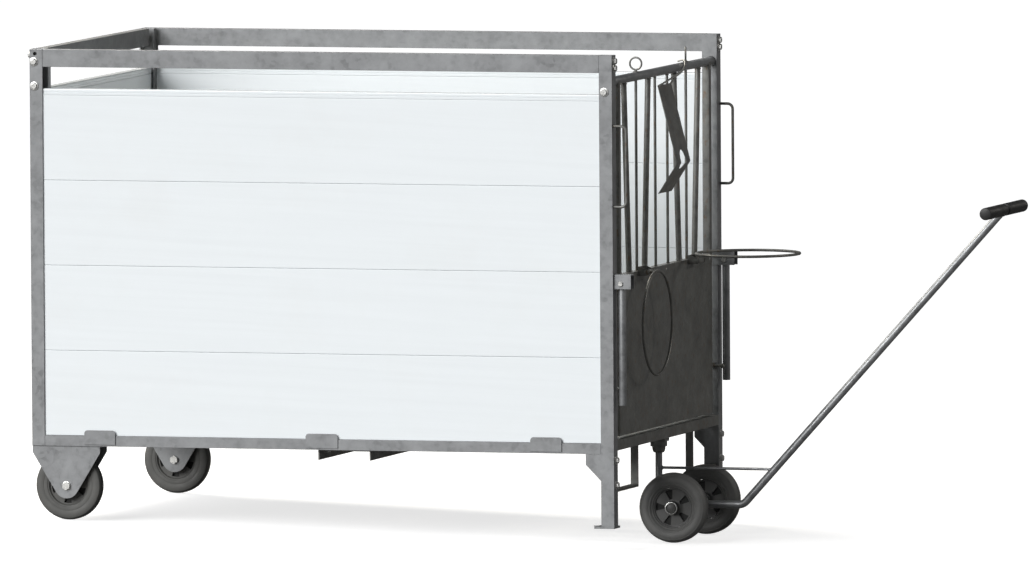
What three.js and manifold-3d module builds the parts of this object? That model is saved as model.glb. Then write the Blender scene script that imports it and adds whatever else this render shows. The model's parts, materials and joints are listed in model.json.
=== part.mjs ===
// Calf pen on wheels with a hook-on hand dolly. Millimetres, +Z up, +X towards the gate.
// Everything is drawn in the pen's own frame: X from the rear face, Y from the near face,
// Z from the soles of the feet. The finished group is pitched so that all four wheels touch the floor.
import * as THREE from 'three';
import { mergeVertices } from 'three/addons/utils/BufferGeometryUtils.js';
import Module from 'manifold-3d';

const wasm = await Module();
wasm.setup();

// ---------------------------------------------------------------- driving dimensions
const LENGTH = 1720;
const WIDTH = 1110;
const HEIGHT = 1338;
const MIDDLE = WIDTH / 2;
const GAP = 0.3;
const SHEET = 4;

const BOLT_RADIUS = 8.5;
const BOLT_HEIGHT = 6;
const END_BOLT_HEIGHT = 9;

const FLANGE = 38;
const GUIDE_INNER = 40;
const GUIDE_REACH = 44;
const REAR_FLANGE = 62;
const BODY_BOTTOM = 211;

const TOP_RAIL_HEIGHT = 50;
const RAIL_DEPTH = 30;
const SIDE_RAIL_TOP = 241;
const FRONT_RAIL_BOTTOM = 219;
const FRONT_RAIL_TOP = 249;
const FRONT_RAIL_DEPTH = 34;

const PLANK_PITCH = 241.8;
const PLANK_COUNT = 4;
const PLANK_OUTER = 4.5;
const PLANK_INNER = 35.5;
const PLANK_JOINT = 0.6;
const PLANK_CHAMFER = 2;
const CAP_TOP = 1226.5;

const FLOOR_BOTTOM = 211;
const FLOOR_TOP = 235;

const CASTOR_X = 100;
const CASTOR_Z = 97.5;
const CASTOR_RADIUS = 98;
const CASTOR_Y = 38;

const HINGE_X = LENGTH - 17;
const HINGE_Z = 1262;
const TOP_TUBE_RADIUS = 12.5;
const STILE_OUTER = 84;
const STILE_SIZE = 20;
const PANEL_TOP = 712;
const PANEL_BOTTOM = 257;
const PANEL_FRONT = LENGTH - 5;
const PANEL_DEPTH = 21;
const ROD_OFFSET = 254;
const ROD_RADIUS = 4;
const FAR_RING_TURN = 1.86;

const LATCH_X = LENGTH - 13;
const LATCH_Z = 390;
const LATCH_RADIUS = 5;

const RING_PIVOT_X = LENGTH + 21.5;
const RING_PIVOT_Z = 707.5;
const RING_RADIUS = 147.5;
const RING_LIFT = 22;
const RING_REACH = 143.5;
const BRACKET_HALF = 30;

const LIFT_X = LENGTH + 20;
const LIFT_Y = 26;
const LIFT_Z = 693;
const LIFT_TUBE_RADIUS = 11;
const LIFT_TUBE_END = 347;

const GRAB_Y = 10;
const GRAB_TOP = 1138;
const GRAB_BOTTOM = 910;

const SWIVEL_X = LENGTH - 29;
const AXLE_X = 1783;
const AXLE_Z = 33.5;
const DOLLY_WHEEL_RADIUS = 99.75;
const DOLLY_WHEEL_OFFSET = 167;
const DRAWBAR_Z = 32;
const BEND_X = 1940;
const BAR_X = 2711;
const BAR_Z = 880;
const BAR_HALF = 196.5;

const WHEEL_SIDES = 32;
const SPOKES = 5;
const CASTOR_POCKET_ANGLE = 0.87;
const RIM_POCKET_ANGLE = 0.576;
// The nose-up pitch at which the castors and the dolly's wheels stand on one floor.
const WHEELBASE = AXLE_X - CASTOR_X;
const AXLE_DROP = CASTOR_Z - AXLE_Z;
const PITCH = Math.atan2(AXLE_DROP, WHEELBASE)
  + Math.asin((DOLLY_WHEEL_RADIUS - CASTOR_RADIUS) / Math.hypot(WHEELBASE, AXLE_DROP));

// ---------------------------------------------------------------- materials
function finish(color, roughness, metalness) {
  return () => new THREE.MeshStandardMaterial({ color, roughness, metalness });
}

const galvanised = finish(0x8b8d8f, 0.45, 0.8);
const darkGalvanised = finish(0x6f706c, 0.5, 0.8);
const plankWhite = finish(0xf0f4f6, 0.35, 0);
const capWhite = finish(0xf6f8f8, 0.2, 0);
const floorGrey = finish(0x9a9c9a, 0.6, 0);
const wheelGrey = finish(0x4b4b48, 0.7, 0);
const rimGrey = finish(0x565654, 0.5, 0);
const zinc = finish(0xcdcdcd, 0.3, 0.9);
const gripBlack = finish(0x1b1b1b, 0.6, 0);

// ---------------------------------------------------------------- shape helpers
function signedVolume(geometry) {
  const position = geometry.attributes.position;
  const index = geometry.index;
  const a = new THREE.Vector3();
  const b = new THREE.Vector3();
  const c = new THREE.Vector3();
  let volume = 0;
  for (let i = 0; i < index.count; i += 3) {
    a.fromBufferAttribute(position, index.getX(i));
    b.fromBufferAttribute(position, index.getX(i + 1));
    c.fromBufferAttribute(position, index.getX(i + 2));
    volume += a.dot(b.cross(c)) / 6;
  }
  return volume;
}

// Merges shared corners and turns an inside-out shape the right way round.
function closed(geometry) {
  const bare = geometry.clone();
  bare.deleteAttribute('normal');
  bare.deleteAttribute('uv');
  const merged = mergeVertices(bare, 1e-4);
  const kept = [];
  const index = merged.index;
  for (let i = 0; i < index.count; i += 3) {
    const corner = [index.getX(i), index.getX(i + 1), index.getX(i + 2)];
    if (corner[0] !== corner[1] && corner[1] !== corner[2] && corner[2] !== corner[0]) {
      kept.push(...corner);
    }
  }
  merged.setIndex(kept);
  if (signedVolume(merged) < 0) {
    for (let i = 0; i < kept.length; i += 3) {
      [kept[i], kept[i + 2]] = [kept[i + 2], kept[i]];
    }
    merged.setIndex(kept);
  }
  return merged;
}

function toSolid(geometry) {
  const merged = closed(geometry);
  return new wasm.Manifold(new wasm.Mesh({
    numProp: 3,
    vertProperties: new Float32Array(merged.attributes.position.array),
    triVerts: new Uint32Array(merged.index.array),
  }));
}

function fromSolid(solid) {
  const mesh = solid.getMesh();
  const geometry = new THREE.BufferGeometry();
  geometry.setAttribute('position', new THREE.BufferAttribute(mesh.vertProperties, 3));
  geometry.setIndex(new THREE.BufferAttribute(mesh.triVerts, 1));
  return geometry;
}

function join(...pieces) {
  let solid = toSolid(pieces[0]);
  for (const piece of pieces.slice(1)) {
    solid = solid.add(toSolid(piece));
  }
  return fromSolid(solid);
}

function cut(body, ...tools) {
  let solid = toSolid(body);
  for (const tool of tools) {
    solid = solid.subtract(toSolid(tool));
  }
  return fromSolid(solid);
}

function block(x0, x1, y0, y1, z0, z1) {
  const geometry = new THREE.BoxGeometry(x1 - x0, y1 - y0, z1 - z0);
  return geometry.translate((x0 + x1) / 2, (y0 + y1) / 2, (z0 + z1) / 2);
}

// Six-sided bolt head: the root is a point on a sheet's face, and the head stands out along the way.
function boltHead(root, way, radius, height) {
  const from = root.map((value, axis) => value - way[axis]);
  const to = root.map((value, axis) => value + way[axis] * height);
  return rod(from, to, radius, 6);
}

// Square tube, open at both ends, running along X or along Y.
function boxTube(axis, x0, x1, y0, y1, z0, z1) {
  const wall = 3;
  const overshoot = -1;
  const dx = axis === 'x' ? overshoot : wall;
  const dy = axis === 'y' ? overshoot : wall;
  const bore = block(x0 + dx, x1 - dx, y0 + dy, y1 - dy, z0 + wall, z1 - wall);
  return cut(block(x0, x1, y0, y1, z0, z1), bore);
}

function outline(points) {
  return new THREE.Shape(points.map(([u, v]) => new THREE.Vector2(u, v)));
}

function prism(points, depth) {
  return new THREE.ExtrudeGeometry(outline(points), { depth, bevelEnabled: false });
}

// Outline in X and Z, carried along Y.
function alongY(points, y0, y1) {
  return prism(points, y1 - y0).rotateX(Math.PI / 2).translate(0, y1, 0);
}

// Outline in X and Y, carried up Z.
function alongZ(points, z0, z1) {
  return prism(points, z1 - z0).translate(0, 0, z0);
}

// Outline in Y and Z, carried along X.
function alongX(points, x0, x1) {
  const turn = new THREE.Matrix4().makeBasis(
    new THREE.Vector3(0, 1, 0),
    new THREE.Vector3(0, 0, 1),
    new THREE.Vector3(1, 0, 0),
  );
  return prism(points, x1 - x0).applyMatrix4(turn).translate(x0, 0, 0);
}

function rod(from, to, radius, sides = 12) {
  const start = new THREE.Vector3(...from);
  const end = new THREE.Vector3(...to);
  const direction = end.clone().sub(start);
  const geometry = new THREE.CylinderGeometry(radius, radius, direction.length(), sides);
  const turn = new THREE.Quaternion();
  turn.setFromUnitVectors(new THREE.Vector3(0, 1, 0), direction.clone().normalize());
  geometry.applyQuaternion(turn);
  return geometry.translate(...start.add(end).multiplyScalar(0.5).toArray());
}

// A path that passes through its stations one by one, so a sweep has a section at each.
class StationPath extends THREE.Curve {
  constructor(stations) {
    super();
    this.stations = stations;
  }

  getPoint(t) {
    const place = t * (this.stations.length - 1);
    const i = Math.min(Math.floor(place), this.stations.length - 2);
    return this.stations[i].clone().lerp(this.stations[i + 1], place - i);
  }

  getPointAt(t) {
    return this.getPoint(t);
  }

  getTangentAt(t) {
    const last = this.stations.length - 1;
    const i = Math.round(t * last);
    const before = this.stations[Math.max(i - 1, 0)];
    const after = this.stations[Math.min(i + 1, last)];
    const here = this.stations[i];
    const arriving = here.clone().sub(before).normalize();
    const leaving = after.clone().sub(here).normalize();
    return arriving.add(leaving).normalize();
  }
}

// Replaces each inner corner of a broken line by an arc of the given radius.
function roundedLine(points, radius, steps) {
  const corners = points.map((p) => new THREE.Vector3(...p));
  const stations = [corners[0]];
  for (let i = 1; i < corners.length - 1; i += 1) {
    const here = corners[i];
    const back = corners[i - 1].clone().sub(here).normalize();
    const ahead = corners[i + 1].clone().sub(here).normalize();
    const half = back.angleTo(ahead) / 2;
    const trim = radius / Math.tan(half);
    const start = here.clone().addScaledVector(back, trim);
    const end = here.clone().addScaledVector(ahead, trim);
    const toCentre = back.clone().add(ahead).normalize();
    const centre = here.clone().addScaledVector(toCentre, radius / Math.sin(half));
    const spokeA = start.clone().sub(centre);
    const spokeB = end.clone().sub(centre);
    const sweep = spokeA.angleTo(spokeB);
    for (let k = 0; k <= steps; k += 1) {
      const share = k / steps;
      const spoke = spokeA.clone().multiplyScalar(Math.sin((1 - share) * sweep) / Math.sin(sweep));
      spoke.addScaledVector(spokeB, Math.sin(share * sweep) / Math.sin(sweep));
      stations.push(centre.clone().add(spoke));
    }
  }
  stations.push(corners[corners.length - 1]);
  return stations;
}

function bentRod(points, bend, radius, sides = 8, steps = 4) {
  const stations = roundedLine(points, bend, steps);
  const section = [];
  for (let i = 0; i < sides; i += 1) {
    const angle = (2 * Math.PI * i) / sides;
    section.push([radius * Math.cos(angle), radius * Math.sin(angle)]);
  }
  return new THREE.ExtrudeGeometry(outline(section), {
    steps: stations.length - 1,
    extrudePath: new StationPath(stations),
    bevelEnabled: false,
  });
}

// A ring-shaped or disc-shaped body turned about a line along Y; profile points are [radius, y].
function turnedAboutY(profile, sides = WHEEL_SIDES) {
  const points = profile.map(([radius, y]) => new THREE.Vector2(radius, y));
  const start = points[0];
  const onAxis = start.x === 0 && points[points.length - 1].x === 0;
  if (!onAxis) {
    points.push(start.clone());
  }
  // A flat of the many-sided wheel faces straight down once the pen is pitched.
  const firstEdge = Math.PI + PITCH + Math.PI / sides;
  return new THREE.LatheGeometry(points, sides, firstEdge, 2 * Math.PI);
}

function turnedAboutZ(profile, sides) {
  return turnedAboutY(profile, sides).rotateX(Math.PI / 2);
}

// Wedge-shaped pockets on both faces of a wheel's web, leaving a thin wall between them.
function webPockets(firstAngle, face, wall) {
  const wedge = [[24, -4], [51, -12], [51, 12], [24, 4]];
  const pockets = [];
  for (let i = 0; i < SPOKES; i += 1) {
    const angle = firstAngle + (2 * Math.PI * i) / SPOKES;
    pockets.push(alongY(wedge, -face - 1, -wall / 2).rotateY(-angle));
    pockets.push(alongY(wedge, wall / 2, face + 1).rotateY(-angle));
  }
  return pockets;
}

function mirrored(geometry) {
  return geometry.clone().scale(1, -1, 1).translate(0, WIDTH, 0);
}

const pen = new THREE.Group();

function place(name, geometry, material) {
  const shape = closed(geometry).toNonIndexed();
  shape.computeVertexNormals();
  const mesh = new THREE.Mesh(shape, material());
  mesh.name = name;
  pen.add(mesh);
  return mesh;
}

function placePair(name, geometry, material) {
  place(`${name}_near`, geometry, material);
  place(`${name}_far`, mirrored(geometry), material);
}

// ---------------------------------------------------------------- pen frame
function rearPost() {
  const channel = alongZ([
    [0, 0], [FLANGE, 0], [FLANGE, SHEET], [SHEET, SHEET],
    [SHEET, GUIDE_INNER - SHEET], [GUIDE_REACH, GUIDE_INNER - SHEET],
    [GUIDE_REACH, REAR_FLANGE], [GUIDE_REACH - SHEET, REAR_FLANGE],
    [GUIDE_REACH - SHEET, GUIDE_INNER], [SHEET, GUIDE_INNER],
    [SHEET, REAR_FLANGE], [0, REAR_FLANGE],
  ], BODY_BOTTOM, HEIGHT);
  const sideBolts = [[13, 1302], [14, 1233]].map(
    ([x, z]) => boltHead([x, 0, z], [0, -1, 0], BOLT_RADIUS, BOLT_HEIGHT),
  );
  const endBolt = boltHead([0, 20, 1321], [-1, 0, 0], BOLT_RADIUS, END_BOLT_HEIGHT);
  const spareHole = rod([16, -1, 1325], [16, SHEET + 1, 1325], 5.4, 12);
  return cut(join(channel, ...sideBolts, endBolt), spareHole);
}

function frontPost() {
  const channel = alongZ([
    [LENGTH - FLANGE, 0], [LENGTH, 0], [LENGTH, GUIDE_INNER],
    [LENGTH - GUIDE_REACH, GUIDE_INNER], [LENGTH - GUIDE_REACH, GUIDE_INNER - SHEET],
    [LENGTH - SHEET, GUIDE_INNER - SHEET], [LENGTH - SHEET, SHEET],
    [LENGTH - FLANGE, SHEET],
  ], 0, HEIGHT);
  const gusset = alongY([
    [1637, BODY_BOTTOM - GAP], [1637, 181], [1681, 136],
    [LENGTH - FLANGE + 2, 136], [LENGTH - FLANGE + 2, BODY_BOTTOM - GAP],
  ], 0, SHEET);
  const foot = block(1661, LENGTH, 0, 60, 0, 6);
  const sideBolt = boltHead([1698, 0, 1234], [0, -1, 0], BOLT_RADIUS, BOLT_HEIGHT);
  const endBolts = [1321, 1301, 193, 123].map(
    (z) => boltHead([LENGTH, 20, z], [1, 0, 0], BOLT_RADIUS, END_BOLT_HEIGHT),
  );
  const hingeHole = rod([HINGE_X, 30, HINGE_Z], [HINGE_X, 45, HINGE_Z], TOP_TUBE_RADIUS + 1.2, 24);
  const latchHole = rod([LATCH_X, 30, LATCH_Z], [LATCH_X, 45, LATCH_Z], LATCH_RADIUS + 0.9, 12);
  const grabHoles = [GRAB_TOP, GRAB_BOTTOM].map(
    (z) => rod([LENGTH - 10, GRAB_Y, z], [LENGTH + 5, GRAB_Y, z], 5, 12),
  );
  const body = join(channel, gusset, foot, sideBolt, ...endBolts);
  return cut(body, hingeHole, latchHole, ...grabHoles);
}

function sideBottomRail() {
  const rail = boxTube('x', FLANGE + GAP, LENGTH - FLANGE - GAP, 0, RAIL_DEPTH, BODY_BOTTOM, SIDE_RAIL_TOP);
  const clips = [[156, 248], [812, 907], [1475, 1567]].map(([x0, x1]) => alongY([
    [x0, 216], [x1, 216], [x1, 249], [x1 - 3, 255], [x1 - 8, 257],
    [x0 + 8, 257], [x0 + 3, 255], [x0, 249],
  ], -3, 0.5));
  return join(rail, ...clips);
}

function crossMember() {
  const x0 = 842;
  const x1 = 998;
  const top = BODY_BOTTOM - GAP;
  return alongY([
    [x0, 181], [x0 + SHEET, 181], [x0 + SHEET, top - SHEET], [x1 - SHEET, top - SHEET],
    [x1 - SHEET, 181], [x1, 181], [x1, top], [x0, top],
  ], 20, WIDTH - 20);
}

// A one-piece floor with rows of drain slots.
function floorDeck() {
  const x0 = 48;
  const x1 = LENGTH - 60;
  const y0 = 44;
  const y1 = WIDTH - 44;
  const rows = 9;
  const columns = 4;
  const slotWidth = 22;
  const slotLength = 320;
  const slots = [];
  for (let row = 0; row < rows; row += 1) {
    for (let column = 0; column < columns; column += 1) {
      const cx = x0 + ((column + 0.5) * (x1 - x0)) / columns;
      const cy = y0 + ((row + 0.5) * (y1 - y0)) / rows;
      slots.push(block(
        cx - slotLength / 2, cx + slotLength / 2, cy - slotWidth / 2, cy + slotWidth / 2,
        FLOOR_BOTTOM - 1, FLOOR_TOP + 1,
      ));
    }
  }
  return cut(block(x0, x1, y0, y1, FLOOR_BOTTOM, FLOOR_TOP), ...slots);
}

function stirrup() {
  const x0 = LENGTH - 30;
  const x1 = LENGTH - 8.6;
  const upright = block(x0, x1, 271, 279, 100, FRONT_RAIL_BOTTOM - GAP);
  const foot = block(x0, x1, GUIDE_INNER + 0.4, 279, 100, 108);
  return join(upright, foot);
}

// A cup with a blind hole from below that takes the top of the dolly's post.
function dollyCup() {
  const bowl = turnedAboutZ([
    [0, 208], [12, 208], [12, 177], [14.5, 178], [17, 182], [18.6, 188], [19, 195],
    [24, 195], [24, 211], [0, 211],
  ], 24);
  bowl.translate(SWIVEL_X, MIDDLE, 0);
  const saddle = block(SWIVEL_X - 18, LENGTH - 4, MIDDLE - 22, MIDDLE + 22, 209.5, FRONT_RAIL_BOTTOM - GAP);
  return join(bowl, saddle);
}

function buildFrame() {
  placePair('post_rear', rearPost(), galvanised);
  placePair('post_front', frontPost(), galvanised);
  const railBottom = HEIGHT - TOP_RAIL_HEIGHT;
  const start = FLANGE + GAP;
  const topRail = boxTube('x', start, LENGTH - start, 0, RAIL_DEPTH, railBottom, HEIGHT);
  placePair('rail_top', topRail, galvanised);
  const inner = REAR_FLANGE + GAP;
  const rearTop = boxTube('y', 0, RAIL_DEPTH, inner, WIDTH - inner, railBottom, HEIGHT);
  place('rail_top_rear', rearTop, galvanised);
  placePair('rail_bottom', sideBottomRail(), galvanised);
  const rearBottom = boxTube('y', 0, RAIL_DEPTH, inner, WIDTH - inner, BODY_BOTTOM, SIDE_RAIL_TOP);
  place('rail_bottom_rear', rearBottom, galvanised);
  const edge = GUIDE_INNER + GAP;
  place('rail_bottom_front', boxTube(
    'y', LENGTH - FRONT_RAIL_DEPTH, LENGTH, edge, WIDTH - edge, FRONT_RAIL_BOTTOM, FRONT_RAIL_TOP,
  ), darkGalvanised);
  place('cross_member', crossMember(), darkGalvanised);
  place('floor', floorDeck(), floorGrey);
  placePair('stirrup', stirrup(), darkGalvanised);
  place('dolly_cup', dollyCup(), darkGalvanised);
}

// ---------------------------------------------------------------- walls
// Chamfered board section between two depths and two heights.
function boardSection(d0, d1, z0, z1) {
  const c = PLANK_CHAMFER;
  return [
    [d0 + c, z0], [d1 - c, z0], [d1, z0 + c], [d1, z1 - c],
    [d1 - c, z1], [d0 + c, z1], [d0, z1 - c], [d0, z0 + c],
  ];
}

function sideBoard(z0, z1) {
  return alongX(boardSection(PLANK_OUTER, PLANK_INNER, z0, z1), 5, LENGTH - 24);
}

function rearBoard(z0, z1) {
  const start = GUIDE_INNER + 0.5;
  return alongY(boardSection(PLANK_OUTER, PLANK_INNER, z0, z1), start, WIDTH - start);
}

function buildWalls() {
  for (let i = 0; i < PLANK_COUNT; i += 1) {
    const z0 = SIDE_RAIL_TOP + GAP + i * PLANK_PITCH;
    const z1 = z0 + PLANK_PITCH - PLANK_JOINT;
    placePair(`plank_side_${i + 1}`, sideBoard(z0, z1), plankWhite);
    place(`plank_rear_${i + 1}`, rearBoard(z0, z1), plankWhite);
  }
  const capBottom = SIDE_RAIL_TOP + GAP + PLANK_COUNT * PLANK_PITCH;
  placePair('cap_side', sideBoard(capBottom, CAP_TOP), capWhite);
  place('cap_rear', rearBoard(capBottom, CAP_TOP), capWhite);
}

// ---------------------------------------------------------------- rear castors
function castorFork() {
  const top = BODY_BOTTOM - GAP;
  const shoulder = 192;
  const tip = 36;
  const cheek = [[0, top], [0, shoulder]];
  // The round tip starts where a line from the shoulder just touches it.
  const towardShoulder = Math.atan2(shoulder - CASTOR_Z, -CASTOR_X);
  const firstTouch = towardShoulder + Math.acos(tip / Math.hypot(CASTOR_X, shoulder - CASTOR_Z));
  const sweep = 2 * (1.5 * Math.PI - firstTouch);
  const arcSteps = 8;
  for (let i = 0; i <= arcSteps; i += 1) {
    const angle = firstTouch + (sweep * i) / arcSteps;
    cheek.push([CASTOR_X + tip * Math.cos(angle), CASTOR_Z + tip * Math.sin(angle)]);
  }
  cheek.push([2 * CASTOR_X, shoulder], [2 * CASTOR_X, top]);
  const axleEnds = [-4, 80];
  return join(
    alongY(cheek, 4, 8),
    alongY(cheek, 68, 72),
    block(0, 2 * CASTOR_X, 4, 72, top - SHEET, top),
    rod([CASTOR_X, axleEnds[0] + 1, CASTOR_Z], [CASTOR_X, axleEnds[1] - 1, CASTOR_Z], 6, 12),
    rod([CASTOR_X, axleEnds[0], CASTOR_Z], [CASTOR_X, 5, CASTOR_Z], 12, 6),
    rod([CASTOR_X, 71, CASTOR_Z], [CASTOR_X, axleEnds[1], CASTOR_Z], 12, 6),
  );
}

function castorWheel() {
  const r = CASTOR_RADIUS / Math.cos(Math.PI / WHEEL_SIDES);
  const wheel = turnedAboutY([
    [8, -23], [20, -23], [22, -10], [55, -10], [58, -16], [72, -19], [92, -19], [r, -9],
    [r, 9], [92, 19], [72, 19], [58, 16], [55, 10], [22, 10], [20, 23], [8, 23],
  ]);
  return cut(wheel, ...webPockets(CASTOR_POCKET_ANGLE, 10, 4));
}

function buildCastors() {
  placePair('castor_fork', castorFork(), galvanised);
  const wheel = castorWheel();
  for (const [side, y] of [['near', CASTOR_Y], ['far', WIDTH - CASTOR_Y]]) {
    const mesh = place(`castor_wheel_${side}`, wheel, wheelGrey);
    mesh.position.set(CASTOR_X, y, CASTOR_Z);
  }
}

// ---------------------------------------------------------------- front gate
function gateFrame() {
  const tube = rod([HINGE_X, 4.6, HINGE_Z], [HINGE_X, WIDTH - 4.6, HINGE_Z], TOP_TUBE_RADIUS, 16);
  const pieces = [tube];
  const holes = [];
  for (const side of [-1, 1]) {
    const edge = MIDDLE + side * (MIDDLE - STILE_OUTER);
    const inner = edge - side * STILE_SIZE;
    pieces.push(block(
      LENGTH - 4 - STILE_SIZE, LENGTH - 4, Math.min(edge, inner), Math.max(edge, inner),
      PANEL_TOP + GAP, HINGE_Z,
    ));
    for (const [topOffset, lowOffset] of [[378, 333], [131, 176]]) {
      pieces.push(rod(
        [HINGE_X, MIDDLE + side * topOffset, HINGE_Z - 5],
        [HINGE_X, MIDDLE + side * lowOffset, PANEL_TOP + 1.2], 8.25, 12,
      ));
    }
    const thin = MIDDLE + side * 62;
    pieces.push(rod([HINGE_X, thin, HINGE_Z - 5], [HINGE_X, thin, PANEL_TOP + GAP], ROD_RADIUS, 8));
    const y = MIDDLE + side * ROD_OFFSET;
    pieces.push(rod([HINGE_X, y, HINGE_Z], [HINGE_X, y, HINGE_Z + 14.5], 8, 12));
    holes.push(rod([HINGE_X, y, HINGE_Z - 20], [HINGE_X, y, HINGE_Z + 20], ROD_RADIUS + 0.9, 12));
  }
  return cut(join(...pieces), ...holes);
}

function ringBracketPieces(y) {
  const eye = [];
  for (let i = 0; i <= 6; i += 1) {
    const angle = -Math.PI / 2 + (Math.PI * i) / 6;
    eye.push([RING_PIVOT_X + 8 * Math.cos(angle), RING_PIVOT_Z + 8 * Math.sin(angle)]);
  }
  const cheek = [[PANEL_FRONT - 1, 698], ...eye, [PANEL_FRONT + 8, 724], [PANEL_FRONT - 1, 724]];
  return [
    alongY(cheek, y - BRACKET_HALF, y - BRACKET_HALF + 3),
    alongY(cheek, y + BRACKET_HALF - 3, y + BRACKET_HALF),
    block(PANEL_FRONT - 1, PANEL_FRONT + 3, y - BRACKET_HALF, y + BRACKET_HALF, 698, 724),
  ];
}

function gatePanel() {
  const x0 = PANEL_FRONT - PANEL_DEPTH;
  const y0 = STILE_OUTER;
  const y1 = WIDTH - STILE_OUTER;
  const fold = 3;
  const pieces = [
    block(PANEL_FRONT - fold, PANEL_FRONT, y0, y1, PANEL_BOTTOM, PANEL_TOP),
    block(x0, PANEL_FRONT, y0, y1, PANEL_TOP - fold, PANEL_TOP),
    block(x0, PANEL_FRONT, y0, y1, PANEL_BOTTOM, PANEL_BOTTOM + fold),
    block(x0, PANEL_FRONT, y0, y0 + fold, PANEL_BOTTOM, PANEL_TOP),
    block(x0, PANEL_FRONT, y1 - fold, y1, PANEL_BOTTOM, PANEL_TOP),
  ];
  const holes = [rod([LATCH_X, 0, LATCH_Z], [LATCH_X, WIDTH, LATCH_Z], LATCH_RADIUS + 0.9, 12)];
  for (const side of [-1, 1]) {
    const y = MIDDLE + side * ROD_OFFSET;
    pieces.push(...ringBracketPieces(y));
    holes.push(rod([HINGE_X, y, 700], [HINGE_X, y, 720], ROD_RADIUS + 0.6, 12));
    holes.push(rod([RING_PIVOT_X, y - 40, RING_PIVOT_Z], [RING_PIVOT_X, y + 40, RING_PIVOT_Z], 4.7, 12));
  }
  return cut(join(...pieces), ...holes);
}

// Pull ring on a drop rod; the ring's face is turned by the given angle about the rod.
function ringRod(y, turn) {
  const ring = new THREE.TorusGeometry(17.25, 2.75, 6, 16);
  ring.rotateX(Math.PI / 2).rotateZ(turn).translate(HINGE_X, y, 1298);
  return join(rod([HINGE_X, y, 690], [HINGE_X, y, 1281], ROD_RADIUS, 10), ring);
}

function latchPin() {
  const y = 60;
  return join(
    rod([LATCH_X, 14, LATCH_Z], [LATCH_X, 82, LATCH_Z], LATCH_RADIUS, 12),
    rod([LATCH_X, y, LATCH_Z], [LENGTH + 16, y, LATCH_Z], 4, 8),
    new THREE.SphereGeometry(7, 10, 6).translate(LENGTH + 18, y, LATCH_Z),
  );
}

// Bucket ring about its own pivot, lying level.
function bucketRing() {
  const hoop = new THREE.TorusGeometry(RING_RADIUS, 4, 6, 36).translate(RING_REACH, 0, RING_LIFT);
  const barrelHalf = BRACKET_HALF - 3 - 0.5;
  const headEnd = BRACKET_HALF + 3.5;
  const pieces = [
    hoop,
    rod([0, -barrelHalf, 0], [0, barrelHalf, 0], 7, 12),
    rod([0, -headEnd, 0], [0, headEnd, 0], 4, 12),
  ];
  for (const side of [-1, 1]) {
    const lug = side * 20;
    pieces.push(rod([-2.6, lug, RING_LIFT], [0, lug, 0], 4, 8));
    pieces.push(rod([0, side * (BRACKET_HALF + 0.5), 0], [0, side * headEnd, 0], 7, 12));
  }
  return join(...pieces);
}

// Folded strap with a round hole at the fold for the bottle's neck, hung by a wire hooked over the top tube.
function bottleHolder() {
  const t = 3;
  const strap = alongY([
    [LENGTH + 10, 1228], [LENGTH + 10 - t, 1227.2], [LENGTH + 66 - t - 0.4, 1008.3],
    [LENGTH + 10 - 2.5, 922.6], [LENGTH + 10, 921], [LENGTH + 66, 1008],
  ], 437, 567);
  const neck = rod([LENGTH + 20, 502, 1016], [LENGTH + 80, 502, 1016], 27.5, 20);
  const hook = [
    [LENGTH + 8.5, 441, 1226], [LENGTH + 4, 620, 1243], [LENGTH + 2.5, 700, 1254],
    [LENGTH + 1, 740, 1266], [LENGTH - 5, 762, 1280], [HINGE_X, 770, 1281.5],
    [HINGE_X - 13, 771, 1277],
  ];
  const stay = [[LENGTH + 8.5, 563, 1226], [LENGTH + 5, 620, 1240], [LENGTH + 2.5, 690, 1252.6]];
  return join(cut(strap, neck), bentRod(hook, 10, 2.7, 8, 2), bentRod(stay, 10, 2.7, 8, 2));
}

function buildGate() {
  place('gate_frame', gateFrame(), darkGalvanised);
  place('gate_panel', gatePanel(), darkGalvanised);
  place('ring_rod_near', ringRod(MIDDLE - ROD_OFFSET, 0), zinc);
  place('ring_rod_far', ringRod(MIDDLE + ROD_OFFSET, FAR_RING_TURN), zinc);
  placePair('latch_pin', latchPin(), zinc);
  const hanging = place('bucket_ring_near', bucketRing(), darkGalvanised);
  hanging.position.set(RING_PIVOT_X, MIDDLE - ROD_OFFSET, RING_PIVOT_Z);
  hanging.rotation.y = Math.PI / 2;
  const level = place('bucket_ring_far', bucketRing(), darkGalvanised);
  level.position.set(RING_PIVOT_X, MIDDLE + ROD_OFFSET, RING_PIVOT_Z);
  place('bottle_holder', bottleHolder(), darkGalvanised);
}

// ---------------------------------------------------------------- handles on the front posts
function grabHandle() {
  return bentRod([
    [LENGTH - 21, GRAB_Y, GRAB_TOP], [LENGTH + 38, GRAB_Y, GRAB_TOP],
    [LENGTH + 38, GRAB_Y, GRAB_BOTTOM], [LENGTH - 21, GRAB_Y, GRAB_BOTTOM],
  ], 15, 4);
}

function liftBracket() {
  const z0 = 678;
  const z1 = 719;
  const front = LENGTH + 50;
  const back = LENGTH + GAP;
  const wall = 3.5;
  const body = join(
    block(back, front, 8, 44, z1 - wall, z1),
    block(back, back + wall, 8, 44, z0, z1),
    block(back, front, 8, 8 + wall, z0, z1),
    block(LENGTH - 30, front, 44 - wall, 44, z0, z1),
  );
  return cut(body, rod([LIFT_X, 0, LIFT_Z], [LIFT_X, 50, LIFT_Z], 4.8, 12));
}

function liftHandle() {
  return join(
    rod([LIFT_X, LIFT_Y, LIFT_TUBE_END], [LIFT_X, LIFT_Y, LIFT_Z + 9], LIFT_TUBE_RADIUS, 16),
    rod([LIFT_X, 5, LIFT_Z], [LIFT_X, 47, LIFT_Z], 4, 12),
    rod([LIFT_X, 4.4, LIFT_Z], [LIFT_X, 7.5, LIFT_Z], 8, 6),
    rod([LIFT_X, 44.5, LIFT_Z], [LIFT_X, 47.6, LIFT_Z], 8, 6),
  );
}

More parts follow.
